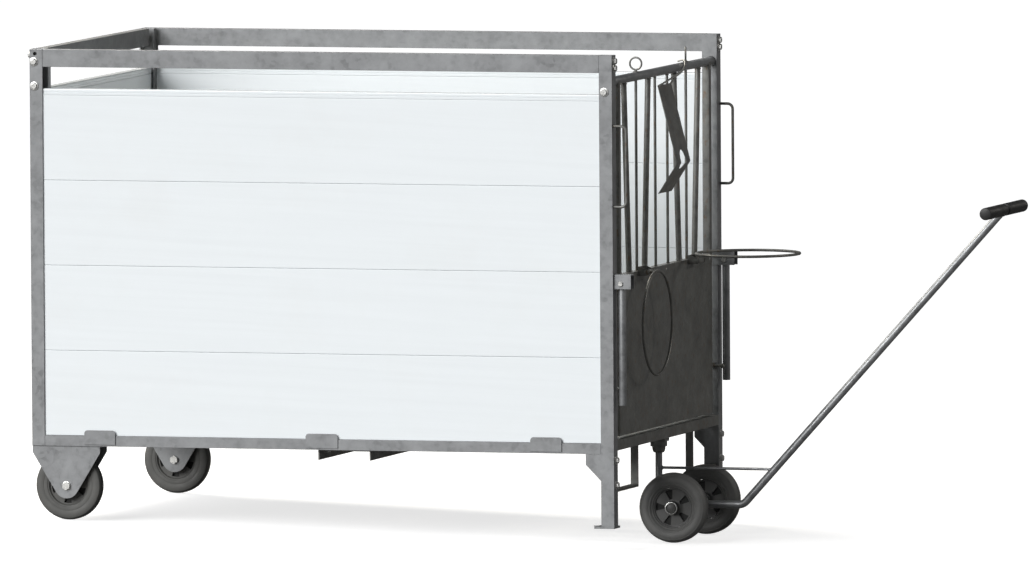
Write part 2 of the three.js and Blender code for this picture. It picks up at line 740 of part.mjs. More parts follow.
function buildHandles() {
  placePair('grab_handle', grabHandle(), galvanised);
  placePair('lift_bracket', liftBracket(), galvanised);
  placePair('lift_handle', liftHandle(), galvanised);
}

// ---------------------------------------------------------------- dolly
function dollyFrame() {
  const wheelHalf = 24;
  const capReach = DOLLY_WHEEL_OFFSET + wheelHalf + 7;
  const slope = (BAR_Z - DRAWBAR_Z) / (BAR_X - BEND_X);
  const braceZ = 134;
  const braceEnd = BEND_X + (braceZ - DRAWBAR_Z) / slope;
  const pieces = [
    bentRod([
      [SWIVEL_X - 4, MIDDLE, DRAWBAR_Z], [BEND_X, MIDDLE, DRAWBAR_Z], [BAR_X, MIDDLE, BAR_Z],
    ], 30, 11, 12, 5),
    rod([SWIVEL_X, MIDDLE, DRAWBAR_Z - 5], [SWIVEL_X, MIDDLE, 206], 10, 12),
    rod([SWIVEL_X, MIDDLE, braceZ], [braceEnd, MIDDLE, braceZ], 4, 8),
    rod([BAR_X, MIDDLE - BAR_HALF + 6.5, BAR_Z], [BAR_X, MIDDLE + BAR_HALF - 6.5, BAR_Z], 11, 12),
    rod([AXLE_X, MIDDLE - capReach + 1, AXLE_Z], [AXLE_X, MIDDLE + capReach - 1, AXLE_Z], 8, 12),
  ];
  for (const side of [-1, 1]) {
    const hubOuter = MIDDLE + side * (DOLLY_WHEEL_OFFSET + wheelHalf + 0.5);
    const hubInner = MIDDLE + side * (DOLLY_WHEEL_OFFSET - wheelHalf - 0.5);
    pieces.push(rod(
      [AXLE_X, hubOuter, AXLE_Z], [AXLE_X, MIDDLE + side * capReach, AXLE_Z], 18, 16,
    ));
    pieces.push(rod([AXLE_X, hubInner, AXLE_Z], [AXLE_X, hubInner - side * 6, AXLE_Z], 12, 12));
  }
  return join(...pieces);
}

function dollyTyre() {
  const r = DOLLY_WHEEL_RADIUS / Math.cos(Math.PI / WHEEL_SIDES);
  return turnedAboutY([
    [57, -13], [66, -21], [80, -24], [93, -18], [r, -7],
    [r, 7], [93, 18], [80, 24], [66, 21], [57, 13],
  ]);
}

function dollyRim() {
  const rim = turnedAboutY([
    [8.6, -24], [17, -24], [19, -8], [52.5, -8], [54, -12.5], [56.5, -12.5],
    [56.5, 12.5], [54, 12.5], [52.5, 8], [19, 8], [17, 24], [8.6, 24],
  ], 24);
  return cut(rim, ...webPockets(RIM_POCKET_ANGLE, 8, 3));
}

// Sleeve with a closed outer end, from the outer end at y = 0 inwards.
function grip() {
  const length = BAR_HALF - 11.5;
  return turnedAboutY([
    [0, 0], [16.5, 0], [17.75, 1.5], [17.75, length - 2], [16, length],
    [11.5, length], [11.5, 5], [0, 5],
  ], 20);
}

function buildDolly() {
  place('dolly_frame', dollyFrame(), galvanised);
  const tyre = dollyTyre();
  const rim = dollyRim();
  const handle = grip();
  for (const [name, side] of [['near', -1], ['far', 1]]) {
    const y = MIDDLE + side * DOLLY_WHEEL_OFFSET;
    place(`dolly_tyre_${name}`, tyre, wheelGrey).position.set(AXLE_X, y, AXLE_Z);
    place(`dolly_rim_${name}`, rim, rimGrey).position.set(AXLE_X, y, AXLE_Z);
    const sleeve = place(`grip_${name}`, handle, gripBlack);
    sleeve.position.set(BAR_X, MIDDLE + side * BAR_HALF, BAR_Z);
    sleeve.rotation.z = side < 0 ? 0 : Math.PI;
  }
}

// ---------------------------------------------------------------- assembly
buildFrame();
buildWalls();
buildCastors();
buildGate();
buildHandles();
buildDolly();

pen.rotation.y = -PITCH;
const penOnWheels = new THREE.Group();
penOnWheels.add(pen);
penOnWheels.updateMatrixWorld(true);
const box = new THREE.Box3().setFromObject(penOnWheels, true);
pen.position.set(-(box.min.x + box.max.x) / 2, -(box.min.y + box.max.y) / 2, -box.min.z);
penOnWheels.updateMatrixWorld(true);

export default penOnWheels;
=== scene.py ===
"""Looks of a mobile calf pen with a hook-on hand dolly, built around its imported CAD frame.

Lengths in the shape functions are millimetres in the pen's own frame: X from the rear face,
Y from the near face and Z from the soles of the feet. to_row() turns them into the row's metres.
"""

import json
import math

import bpy
import numpy as np
from mathutils import Matrix, Vector


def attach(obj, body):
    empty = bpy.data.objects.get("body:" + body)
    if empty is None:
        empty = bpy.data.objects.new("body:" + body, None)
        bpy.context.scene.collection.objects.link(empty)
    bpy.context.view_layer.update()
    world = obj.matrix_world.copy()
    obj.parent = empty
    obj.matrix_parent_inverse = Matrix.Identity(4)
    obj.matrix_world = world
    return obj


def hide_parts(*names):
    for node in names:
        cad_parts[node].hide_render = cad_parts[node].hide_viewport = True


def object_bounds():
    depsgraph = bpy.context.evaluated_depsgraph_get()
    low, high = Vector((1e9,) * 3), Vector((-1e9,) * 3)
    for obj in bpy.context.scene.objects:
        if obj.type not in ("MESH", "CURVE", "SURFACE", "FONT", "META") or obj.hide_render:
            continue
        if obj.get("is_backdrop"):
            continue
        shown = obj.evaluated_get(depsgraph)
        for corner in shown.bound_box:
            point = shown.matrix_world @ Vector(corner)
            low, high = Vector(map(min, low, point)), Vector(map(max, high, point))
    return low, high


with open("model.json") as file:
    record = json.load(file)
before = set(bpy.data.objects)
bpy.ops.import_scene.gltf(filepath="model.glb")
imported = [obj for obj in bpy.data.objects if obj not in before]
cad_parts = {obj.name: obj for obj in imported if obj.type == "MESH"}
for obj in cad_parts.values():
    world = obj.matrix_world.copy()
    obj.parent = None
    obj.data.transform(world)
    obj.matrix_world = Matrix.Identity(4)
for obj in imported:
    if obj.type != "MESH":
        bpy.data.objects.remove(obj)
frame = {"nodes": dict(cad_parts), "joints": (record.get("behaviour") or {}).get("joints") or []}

bl_info = {
    "name": "Calf Pen",
    "version": (1, 0, 0),
    "blender": (4, 5, 0),
    "location": "View3D > Sidebar > Calf Pen",
    "description": "Builds the visible pieces of a calf pen and its hand dolly",
    "category": "Add Mesh",
}

# ------------------------------------------------------------------ the pen's frame
LENGTH = 1720.0
WIDTH = 1110.0
MIDDLE = WIDTH / 2
HINGE_X = LENGTH - 17
HINGE_Z = 1262.0
PANEL_FRONT = LENGTH - 5
PANEL_TOP = 712.0
ROD_OFFSET = 254.0
FAR_RING_TURN = 1.86
RING_PIVOT_X = LENGTH + 21.5
RING_PIVOT_Z = 707.5
LIFT_X = LENGTH + 20
LIFT_Z = 693.0
SWIVEL_X = LENGTH - 29
AXLE_X = 1783.0
AXLE_Z = 33.5
BAR_X = 2711.0
BAR_Z = 880.0
BAR_HALF = 196.5
WHEEL_OFFSET = 167.0
CASTOR = (100.0, 38.0, 97.5)

JOINTS = {joint["name"]: joint for joint in frame["joints"]}
PEN_UP = np.array(JOINTS["ring_rod_lift_near"]["axis"], float)
PEN_AXES = np.array([[PEN_UP[2], 0, -PEN_UP[0]], [0, 1, 0], PEN_UP])
PEN_ORIGIN = (
    np.array(JOINTS["gate_swing"]["pos_m"], float)
    - np.array([HINGE_X, MIDDLE, HINGE_Z]) / 1000 @ PEN_AXES
)


def to_row(points):
    """Millimetres in the pen's frame, as metres in the row frame."""
    return PEN_ORIGIN + np.asarray(points, float) / 1000 @ PEN_AXES


# ------------------------------------------------------------------ surfaces
def unit(vectors):
    """Each vector over its own length."""
    return vectors / np.linalg.norm(vectors, axis=-1, keepdims=True)


def grid_quads(rows, columns, closed=False):
    """Quads over a grid of points whose columns wrap round, and whose rows wrap round if closed."""
    last = rows if closed else rows - 1
    i, j = np.meshgrid(np.arange(last), np.arange(columns), indexing="ij")
    after, beside = (i + 1) % rows, (j + 1) % columns
    corners = [i * columns + j, i * columns + beside, after * columns + beside, after * columns + j]
    return np.stack(corners, axis=-1).reshape(-1, 4).tolist()


def capped(rings, closed=False):
    """A skin over a stack of rings, with a flat many-sided face at either end unless it closes on itself.

    The summed volume under the quads tells whether the skin is inside out; if so it is turned.
    """
    rows, columns = rings.shape[:2]
    points = rings.reshape(-1, 3)
    quads = np.array(grid_quads(rows, columns, closed))
    faces = quads.tolist()
    if not closed:
        faces.append(list(range(columns))[::-1])
        faces.append(list(range((rows - 1) * columns, rows * columns)))
    middle = points.mean(0)
    a, b, c, d = (points[quads[:, k]] - middle for k in range(4))
    volume = np.einsum("ij,ij->", a, np.cross(b, c)) + np.einsum("ij,ij->", a, np.cross(c, d))
    if not closed:
        for cap in faces[-2:]:
            fan = points[cap] - middle
            volume += np.einsum("ij,ij->", np.tile(fan[0], (len(cap) - 2, 1)), np.cross(fan[1:-1], fan[2:]))
    if volume < 0:
        faces = [face[::-1] for face in faces]
    return points, faces


def bend_line(points, radius, steps=8):
    """A broken line with each inner corner replaced by an arc of the given radius.

    Each arc is the slerp of its two end spokes about the corner's centre.
    """
    points = np.asarray(points, float)
    stations = [points[:1]]
    share = np.linspace(0, 1, steps + 1)[:, None]
    for before, here, after in zip(points, points[1:], points[2:]):
        back, ahead = unit(before - here), unit(after - here)
        half = math.acos(np.clip(back @ ahead, -1, 1)) / 2
        centre = here + unit(back + ahead) * radius / math.sin(half)
        start = here + back * radius / math.tan(half) - centre
        end = here + ahead * radius / math.tan(half) - centre
        sweep_angle = math.pi - 2 * half
        blend = np.sin((1 - share) * sweep_angle) * start + np.sin(share * sweep_angle) * end
        stations.append(centre + blend / math.sin(sweep_angle))
    stations.append(points[-1:])
    return np.vstack(stations)


def sweep(path, radius, normal=(0, 1, 0), sides=20, closed=False, bead=0.0):
    """A round bar along a path: path + radius * (cos a * side + sin a * rise) at each station.

    side is the given normal made square to the path, rise is the tangent crossed with it. bead
    rounds the two ends over that length.
    """
    path = np.asarray(path, float)
    if closed:
        tangent = unit(np.roll(path, -1, 0) - np.roll(path, 1, 0))
    else:
        step = unit(np.diff(path, axis=0))
        tangent = unit(np.vstack([step[:1], step[:-1] + step[1:], step[-1:]]))
    size = np.full(len(path), float(radius))
    if bead and not closed:
        angle = np.linspace(0, math.pi / 2, 5)[:-1]
        depth, scale = bead * (1 - np.sin(angle)), np.sqrt(1 - (1 - np.sin(angle)) ** 2 * 0.96)
        first = path[0] + tangent[0] * (bead - depth)[:, None]
        last = path[-1] - tangent[-1] * (bead - depth)[::-1][:, None]
        start, end = path[0] + tangent[0] * bead, path[-1] - tangent[-1] * bead
        path = np.vstack([first, start, path[1:-1], end, last])
        ends = np.r_[np.repeat(0, 4), np.arange(len(tangent)), np.repeat(len(tangent) - 1, 4)]
        tangent = tangent[ends]
        size = np.r_[scale * radius, size, scale[::-1] * radius]
    normal = np.asarray(normal, float)
    side = unit(normal - (tangent @ normal)[:, None] * tangent)
    rise = np.cross(tangent, side)
    angle = np.linspace(0, 2 * math.pi, sides, endpoint=False)[None, :, None]
    circle = np.cos(angle) * side[:, None] + np.sin(angle) * rise[:, None]
    rings = path[:, None] + size[:, None, None] * circle
    return capped(rings, closed)


def rod(start, end, radius, sides=20, bead=0.0):
    """A straight round bar between two points."""
    start, end = np.asarray(start, float), np.asarray(end, float)
    along = unit(end - start)
    normal = (0, 1, 0) if abs(along[1]) < 0.9 else (0, 0, 1)
    return sweep(np.array([start, end]), radius, normal, sides, bead=bead)


def axes_for(direction):
    """Two unit vectors square to a direction and to each other, as a right-handed set with it."""
    along = unit(np.asarray(direction, float))
    side = np.array([0.0, 0, 1]) if abs(along[2]) < 0.9 else np.array([1.0, 0, 0])
    side = unit(side - (side @ along) * along)
    return side, np.cross(along, side), along


def turned(profile, centre, direction=(0, 1, 0), sides=64, closed=False, turn=0.0):
    """A profile of [radius, height] points turned about a line: centre + h * axis + r * (cos, sin)."""
    profile = np.asarray(profile, float)
    side, rise, along = axes_for(direction)
    angle = (np.linspace(0, 2 * math.pi, sides, endpoint=False) + turn)[None, :, None]
    radius, height = profile[:, 0][:, None, None], profile[:, 1][:, None, None]
    circle = np.cos(angle) * side + np.sin(angle) * rise
    rings = np.asarray(centre, float) + height * along + radius * circle
    return capped(rings, closed)


def round_corners(points, radius, steps=4):
    """A closed outline with every corner rounded, as [u, v] points."""
    points = np.asarray(points, float)
    count = len(points)
    doubled = np.c_[points, np.zeros(count)]
    arcs = []
    for i in range(count):
        corner = doubled[[i - 1, i, (i + 1) % count]]
        arcs.append(bend_line(corner, radius, steps)[1:-1, :2])
    return np.vstack(arcs)


def prism(outline, axis, low, high):
    """An outline carried straight along one axis; its points are the other two axes in X, Y, Z order."""
    outline = np.asarray(outline, float)
    others = [k for k in range(3) if k != axis]
    rings = np.zeros((2, len(outline), 3))
    rings[:, :, others] = outline
    rings[:, :, axis] = np.array([low, high])[:, None]
    return capped(rings)


def box_part(x, y, z, radius=0.8):
    """A bar of oblong section with its long edges rounded, standing along Z."""
    outline = round_corners([[x[0], y[0]], [x[1], y[0]], [x[1], y[1]], [x[0], y[1]]], radius)
    return prism(outline, 2, *z)


def hex_head(centre, direction, across=8.0, height=6.0):
    """A washer and a six-sided head with a turned-down top."""
    along = unit(np.asarray(direction, float))
    centre = np.asarray(centre, float)
    washer = turned([[0.1, 0.1], [across * 1.25, 0.1], [across * 1.3, 0.4], [across * 1.3, 1.2],
                     [across * 1.22, 1.5], [0.1, 1.5]], centre, along, 28)
    head = turned([[0.1, 1.4], [across, 1.4], [across, height - 1], [across * 0.86, height],
                   [0.1, height]], centre, along, 6, turn=0.4)
    return [washer, head]


def stud_end(centre, direction, radius, length):
    """A threaded end: a bar whose radius follows a fine saw-tooth along its length."""
    height = np.linspace(0, length, int(length * 2.4) + 2)
    radii = radius + 0.28 * np.cos(height * 2 * math.pi / 1.25)
    radii[[0, -1]] = radius * 0.8
    return turned(np.c_[radii, height], centre, direction, 16)


def weld_bead(path, radius=1.6):
    """A weld seam: a thin bar whose stations swell and shrink along the path in small ripples."""
    path = np.asarray(path, float)
    lengths = np.linalg.norm(np.diff(path, axis=0), axis=1)
    along = np.r_[0, np.cumsum(lengths)]
    count = max(int(along[-1] / 1.6), 6)
    where = np.linspace(0, along[-1], count)
    fine = np.stack([np.interp(where, along, path[:, k]) for k in range(3)], axis=1)
    vertices, faces = sweep(fine, 1.0, (0.3, 0.5, 0.8), 8)
    rings = vertices.reshape(count, 8, 3)
    swell = radius * (1 + 0.18 * np.cos(np.arange(count) * 2.1))[:, None, None]
    rings = fine[:, None] + (rings - fine[:, None]) * swell
    return rings.reshape(-1, 3), faces


def collar_weld(centre, direction, radius, bead=1.5):
    """A weld seam round a bar."""
    side, rise, _ = axes_for(direction)
    angle = np.linspace(0, 2 * math.pi, 36, endpoint=False)[:, None]
    ring = np.asarray(centre, float) + radius * (np.cos(angle) * side + np.sin(angle) * rise)
    swell = bead * (1 + 0.15 * np.cos(np.arange(36) * 3.0))
    vertices, faces = sweep(ring, 1.0, direction, 8, closed=True)
    rings = vertices.reshape(36, 8, 3)
    rings = ring[:, None] + (rings - ring[:, None]) * swell[:, None, None]
    return rings.reshape(-1, 3), faces


def mirror(parts):
    """The same parts on the far side, with their faces turned back the right way round."""
    return [(v * [1, -1, 1] + [0, WIDTH, 0], [face[::-1] for face in f]) for v, f in parts]


def both_sides(parts):
    return list(parts) + mirror(parts)


def piece(name, parts, material, body, replaces=(), sharp=38.0, bevel=0.0):
    """Joins parts into one object in the row frame, shades it, and hangs it on its body."""
    vertices, faces, start = [], [], 0
    for part_vertices, part_faces in parts:
        vertices.append(part_vertices)
        faces.extend([index + start for index in face] for face in part_faces)
        start += len(part_vertices)
    mesh = bpy.data.meshes.new(name)
    mesh.from_pydata(to_row(np.vstack(vertices)).tolist(), [], faces)
    mesh.polygons.foreach_set("use_smooth", np.ones(len(mesh.polygons), bool))
    mesh.validate()
    mesh.set_sharp_from_angle(angle=math.radians(sharp))
    mesh.update()
    obj = bpy.data.objects.new(name, mesh)
    bpy.context.scene.collection.objects.link(obj)
    obj.data.materials.append(material)
    if bevel:
        round_edges(obj, bevel)
    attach(obj, body)
    if replaces:
        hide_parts(*replaces)
    return obj


def round_edges(obj, width, weld=False):
    """Rounds the sharp edges with live modifiers; weld first merges loose triangles."""
    if weld:
        merge = obj.modifiers.new("Merge", "WELD")
        merge.merge_threshold = 0.00002
    bevel = obj.modifiers.new("Edges", "BEVEL")
    bevel.width = width
    bevel.segments = 2
    bevel.limit_method = "ANGLE"
    bevel.angle_limit = math.radians(35)
    bevel.use_clamp_overlap = True
    bevel.harden_normals = False


def tint(obj, low, high, shade):
    """Gives the faces whose centres lie in one box of the pen's frame a second material."""
    mesh = obj.data
    slot = len(mesh.materials)
    if shade.name in mesh.materials:
        slot = mesh.materials.find(shade.name)
    else:
        mesh.materials.append(shade)
    centres = np.zeros(len(mesh.polygons) * 3)
    mesh.polygons.foreach_get("center", centres)
    centres = (centres.reshape(-1, 3) - PEN_ORIGIN) @ PEN_AXES.T * 1000
    inside = np.all((centres > np.array(low)) & (centres < np.array(high)), axis=1)
    indices = np.zeros(len(mesh.polygons), np.int32)
    mesh.polygons.foreach_get("material_index", indices)
    indices[inside] = slot
    mesh.polygons.foreach_set("material_index", indices)
    return int(inside.sum())


# ------------------------------------------------------------------ materials
class Shader:
    """A node tree being built: object coordinates in, one Principled shader out."""

    def __init__(self, name):
        self.material = bpy.data.materials.new(name)
        self.material.use_nodes = True
        self.nodes = self.material.node_tree.nodes
        self.links = self.material.node_tree.links
        self.out = self.nodes["Principled BSDF"]
        self.place = self.nodes.new("ShaderNodeTexCoord").outputs["Object"]

    def stretched(self, scale):
        mapping = self.nodes.new("ShaderNodeMapping")
        mapping.inputs["Scale"].default_value = scale
        self.links.new(self.place, mapping.inputs["Vector"])
        return mapping.outputs["Vector"]

    def noise(self, scale, detail=3.0, roughness=0.55, vector=None):
        node = self.nodes.new("ShaderNodeTexNoise")
        node.inputs["Scale"].default_value = scale
        node.inputs["Detail"].default_value = detail
        node.inputs["Roughness"].default_value = roughness
        self.links.new(vector or self.place, node.inputs["Vector"])
        return node.outputs["Fac"]

    def cells(self, scale, vector=None):
        node = self.nodes.new("ShaderNodeTexVoronoi")
        node.inputs["Scale"].default_value = scale
        self.links.new(vector or self.place, node.inputs["Vector"])
        return node.outputs["Color"]

    def ramp(self, value, low, high, low_at=0.3, high_at=0.7):
        node = self.nodes.new("ShaderNodeValToRGB")
        for element, place, tone in zip(node.color_ramp.elements, (low_at, high_at), (low, high)):
            element.position = place
            element.color = (*tone, 1) if isinstance(tone, tuple) else (tone, tone, tone, 1)
        self.links.new(value, node.inputs["Fac"])
        return node.outputs["Color"]

    def mix(self, factor, first, second):
        node = self.nodes.new("ShaderNodeMix")
        node.data_type = "RGBA"
        for socket, value in ((node.inputs[0], factor), (node.inputs[6], first), (node.inputs[7], second)):
            if isinstance(value, bpy.types.NodeSocket):
                self.links.new(value, socket)
            else:
                socket.default_value = value
        return node.outputs[2]

    def bump(self, height, distance, strength=0.4):
        node = self.nodes.new("ShaderNodeBump")
        node.inputs["Distance"].default_value = distance
        node.inputs["Strength"].default_value = strength
        self.links.new(height, node.inputs["Height"])
        self.links.new(node.outputs["Normal"], self.out.inputs["Normal"])

    def colour(self, socket):
        self.links.new(socket, self.out.inputs["Base Color"])

    def rough(self, value, low, high):
        self.links.new(self.ramp(value, low, high), self.out.inputs["Roughness"])

    def set(self, **values):
        for name, value in values.items():
            self.out.inputs[name.replace("_", " ")].default_value = value
        return self.material


def galvanised(name, dark, light, metallic, flecks=0.0, low=0.36):
    """Hot-dip zinc: soft crystal cells over cloudy patches, with fine brown flecks if asked for."""
    shader = Shader(name)
    crystals = shader.cells(82.0)
    spangle = shader.ramp(crystals, 0.25, 0.75, 0.1, 0.9)
    cloud = shader.noise(17.0, 5.0, 0.65)
    tone = shader.ramp(cloud, dark, light, 0.34, 0.66)
    speckled = shader.mix(shader.ramp(crystals, 0.0, 0.6, 0.15, 0.9), tone, (*light, 1))
    if flecks:
        run = shader.stretched((110.0, 110.0, 45.0))
        spots = shader.ramp(shader.noise(1.0, 3.0, 0.6, run), 0.0, flecks, 0.58, 0.70)
        speckled = shader.mix(spots, speckled, (0.16, 0.085, 0.035, 1))
    shader.colour(speckled)
    shader.rough(spangle, low, low + 0.2)
    shader.bump(shader.noise(210.0, 2.0), 0.0004, 0.25)
    return shader.set(Metallic=metallic)


def board_plastic(name, tone, roughness):
    """Extruded board: faint lengthwise streaks, slight clouding and a fine surface ripple."""
    shader = Shader(name)
    streak = shader.noise(1.0, 3.0, 0.6, shader.stretched((1.5, 30.0, 60.0)))
    cloud = shader.noise(5.0, 4.0)
    dull = tuple(0.955 * c for c in tone)
    base = shader.mix(shader.ramp(streak, 0.0, 0.6, 0.35, 0.75), (*tone, 1), (*dull, 1))
    grime = shader.ramp(cloud, 0.0, 0.10, 0.5, 0.85)
    shader.colour(shader.mix(grime, base, (0.62, 0.60, 0.55, 1)))
    shader.rough(cloud, roughness, roughness + 0.1)
    shader.bump(shader.noise(60.0, 2.0), 0.0004, 0.15)
    return shader.set(Specular_IOR_Level=0.45)


def moulded(name, tone, worn, roughness, grain=300.0, depth=0.0003):
    """Moulded rubber or plastic: a fine grain with lighter, dustier patches."""
    shader = Shader(name)
    dust = shader.ramp(shader.noise(22.0, 5.0, 0.65), 0.0, 0.75, 0.42, 0.72)
    shader.colour(shader.mix(dust, (*tone, 1), (*worn, 1)))
    shader.rough(shader.noise(35.0, 3.0), roughness, roughness + 0.18)
    shader.bump(shader.noise(grain, 3.0), depth, 0.35)
    return shader.set()


def bright_zinc(name):
    """Plated fastener steel: nearly white, with small scuffs."""
    shader = Shader(name)
    scuff = shader.noise(180.0, 3.0)
    shader.colour(shader.mix(shader.ramp(scuff, 0.0, 0.7), (0.78, 0.78, 0.76, 1), (0.52, 0.51, 0.48, 1)))
    shader.rough(scuff, 0.22, 0.42)
    shader.bump(shader.noise(400.0, 2.0), 0.0002, 0.2)
    return shader.set(Metallic=0.85)


def stage_floor(name):
    """Plain pale floor: nearly white to the eye, but a mid grey as a source of bounced light."""
    shader = Shader(name)
    sight = shader.nodes.new("ShaderNodeLightPath").outputs["Is Camera Ray"]
    shader.colour(shader.mix(sight, (0.20, 0.20, 0.20, 1), (0.62, 0.62, 0.62, 1)))
    glow = shader.nodes.new("ShaderNodeMath")
    glow.operation = "MULTIPLY"
    glow.inputs[1].default_value = 0.72
    shader.links.new(sight, glow.inputs[0])
    shader.links.new(glow.outputs[0], shader.out.inputs["Emission Strength"])
    return shader.set(Roughness=0.9, Specular_IOR_Level=0.1, Emission_Color=(1, 1, 1, 1))


MATERIALS = {}


def material(name):
    return MATERIALS[name]


def make_materials(finish):
    """Every finish the pieces use, from the colours in the sidebar."""
    zinc = np.array(finish.zinc_colour)
    shade = np.array(finish.shaded_zinc_colour)
    MATERIALS["zinc_side"] = galvanised("galvanised", tuple(zinc * 0.78), tuple(zinc * 1.22), 0.5)
    # zinc_shade is the same galvanised steel made darker: painted shade for the gate, the front parts, the
    # handles and the rods, which face away from the light
    MATERIALS["zinc_shade"] = galvanised(
        "shaded_galvanised", tuple(shade * 0.72), tuple(shade * 1.28), 0.5, flecks=0.6
    )
    MATERIALS["board"] = board_plastic("plank", tuple(finish.board_colour), 0.34)
    MATERIALS["cap"] = board_plastic("cap", tuple(finish.board_colour), 0.14)
    MATERIALS["floor"] = moulded("floor", (0.34, 0.35, 0.34), (0.5, 0.48, 0.42), 0.5, 90.0, 0.0006)
    MATERIALS["castor"] = moulded("castor_rubber", (0.085, 0.085, 0.08), (0.11, 0.107, 0.1), 0.5)
    MATERIALS["tyre"] = moulded("tyre", (0.125, 0.125, 0.12), (0.155, 0.153, 0.147), 0.5)
    MATERIALS["rim"] = moulded("rim", (0.085, 0.085, 0.082), (0.11, 0.11, 0.106), 0.36)
    MATERIALS["fastener"] = bright_zinc("zinc")
    # The pocket floors are the wheel's own plastic made near-black: painted shade inside the wheel pockets
    MATERIALS["pocket"] = moulded("pocket", (0.012, 0.012, 0.011), (0.025, 0.025, 0.024), 0.6)
    MATERIALS["tube"] = galvanised("tube", tuple(zinc * 0.85), tuple(zinc * 1.4), 0.6, low=0.3)
    MATERIALS["wire"] = galvanised("wire", (0.22, 0.22, 0.20), (0.5, 0.49, 0.46), 0.7)
    MATERIALS["grip"] = moulded("grip", (0.012, 0.012, 0.012), (0.03, 0.03, 0.029), 0.42)


# ------------------------------------------------------------------ settings
class CalfPenFinish(bpy.types.PropertyGroup):
    """Colours and small sizes a user would change."""

    zinc_colour: bpy.props.FloatVectorProperty(
        name="Zinc", description="Galvanised steel on the sides", subtype="COLOR", size=3,
        default=(0.235, 0.24, 0.245), min=0, max=1,
    )
    # A darker copy of the zinc colour: painted shade for the gate, the front parts, the handles and the rods
    shaded_zinc_colour: bpy.props.FloatVectorProperty(
        name="Shaded zinc", description="Galvanised steel of the gate and front", subtype="COLOR", size=3,
        default=(0.17, 0.17, 0.16), min=0, max=1,
    )
    board_colour: bpy.props.FloatVectorProperty(
        name="Boards", description="Wall boards and their caps", subtype="COLOR", size=3,
        default=(0.86, 0.90, 0.92), min=0, max=1,
    )
    edge_radius: bpy.props.FloatProperty(
        name="Edge radius", description="Rounding of folded sheet edges", default=0.0007,
        min=0, unit="LENGTH",
    )


class CalfPenStage(bpy.types.PropertyGroup):
    """Camera values."""

    azimuth: bpy.props.FloatProperty(
        name="Azimuth", description="Camera's turn round the pen's own upright", default=math.radians(16.5),
        subtype="ANGLE",
    )
    elevation: bpy.props.FloatProperty(
        name="Elevation", description="Camera's height angle over the pen's own floor",
        default=math.radians(3.8), subtype="ANGLE",
    )
    distance: bpy.props.FloatProperty(
        name="Distance", description="From the camera to the near front foot", default=75.0, unit="LENGTH",
    )
    view_width: bpy.props.FloatProperty(
        name="View width", description="Width of the picture at the middle of the pen", default=2.9459,
        unit="LENGTH",
    )
    middle_depth: bpy.props.FloatProperty(
        name="Middle depth", description="How far the middle of the pen lies behind the near front foot",
        default=0.75, unit="LENGTH",
    )


# ------------------------------------------------------------------ walls
BOARD_OUTER = 4.5
BOARD_INNER = 35.5
BOARD_START = 5.0
BOARD_END = LENGTH - 24.0
REAR_BOARD_START = 40.5
FLAT_EDGE = 10


def board_outline(low, high):
    """Board section as [depth, height], with rounded long edges."""
    corners = [[BOARD_OUTER, low], [BOARD_INNER, low], [BOARD_INNER, high], [BOARD_OUTER, high]]
    return round_corners(corners, 1.6, 3)


def side_board(outline):
    """A board section carried along X, from the rear guide to the front one."""
    return prism(outline, 0, BOARD_START, BOARD_END)


def rear_board(outline):
    """A board section carried along Y between the rear guides."""
    return prism(outline, 1, REAR_BOARD_START, WIDTH - REAR_BOARD_START)


def cap_outline(low, high):
    """Cap section: a rounded bead on top, and a shallow groove along each face below it."""
    groove = low + 7.5
    face = [[0.0, low], [0.0, groove - 1.4], [1.1, groove - 0.6], [1.1, groove + 0.6], [0.0, groove + 1.4]]
    bead = [[0.2, high - 3.4], [1.0, high - 1.6], [2.4, high - 0.4], [4.2, high]]
    left = [[BOARD_OUTER + u, v] for u, v in face + bead]
    right = [[BOARD_INNER - u, v] for u, v in (face + bead)[::-1]]
    return left + right


class PEN_OT_walls(bpy.types.Operator):
    """Boards and caps of the three walls, with rounded edges"""

    bl_idname = "calfpen.walls"
    bl_label = "Walls"

    def execute(self, context):
        pitch, bottom, joint, cap_top = 241.8, 241.3, 0.6, 1226.5
        rows = []
        for i in range(4):
            low = bottom + i * pitch
            rows.append((board_outline(low, low + pitch - joint), "board", "plank", "rear", f"_{i + 1}"))
        rows.append((cap_outline(bottom + 4 * pitch, cap_top), "cap", "cap", "back", ""))
        for outline, kind, slot, behind, row in rows:
            near = [side_board(outline)]
            for side, parts in (("near", near), ("far", mirror(near))):
                node = f"{slot}_side{row}_{side}"
                piece(f"{kind}_{side}{row}", parts, material(kind), "pen", [node], FLAT_EDGE)
            node = f"{slot}_rear{row}"
            parts = [rear_board(outline)]
            piece(f"{kind}_{behind}{row}", parts, material(kind), "pen", [node], FLAT_EDGE)
        return {"FINISHED"}


# ------------------------------------------------------------------ frame
SHEET_NODES = {
    "zinc_side": ["post_rear", "post_front", "rail_top", "rail_bottom", "castor_fork", "lift_bracket"],
    "zinc_shade": ["stirrup"],
}
SINGLE_NODES = {
    "zinc_side": ["rail_top_rear", "rail_bottom_rear"],
    "zinc_shade": ["rail_bottom_front", "cross_member", "gate_panel"],
    "floor": ["floor"],
}


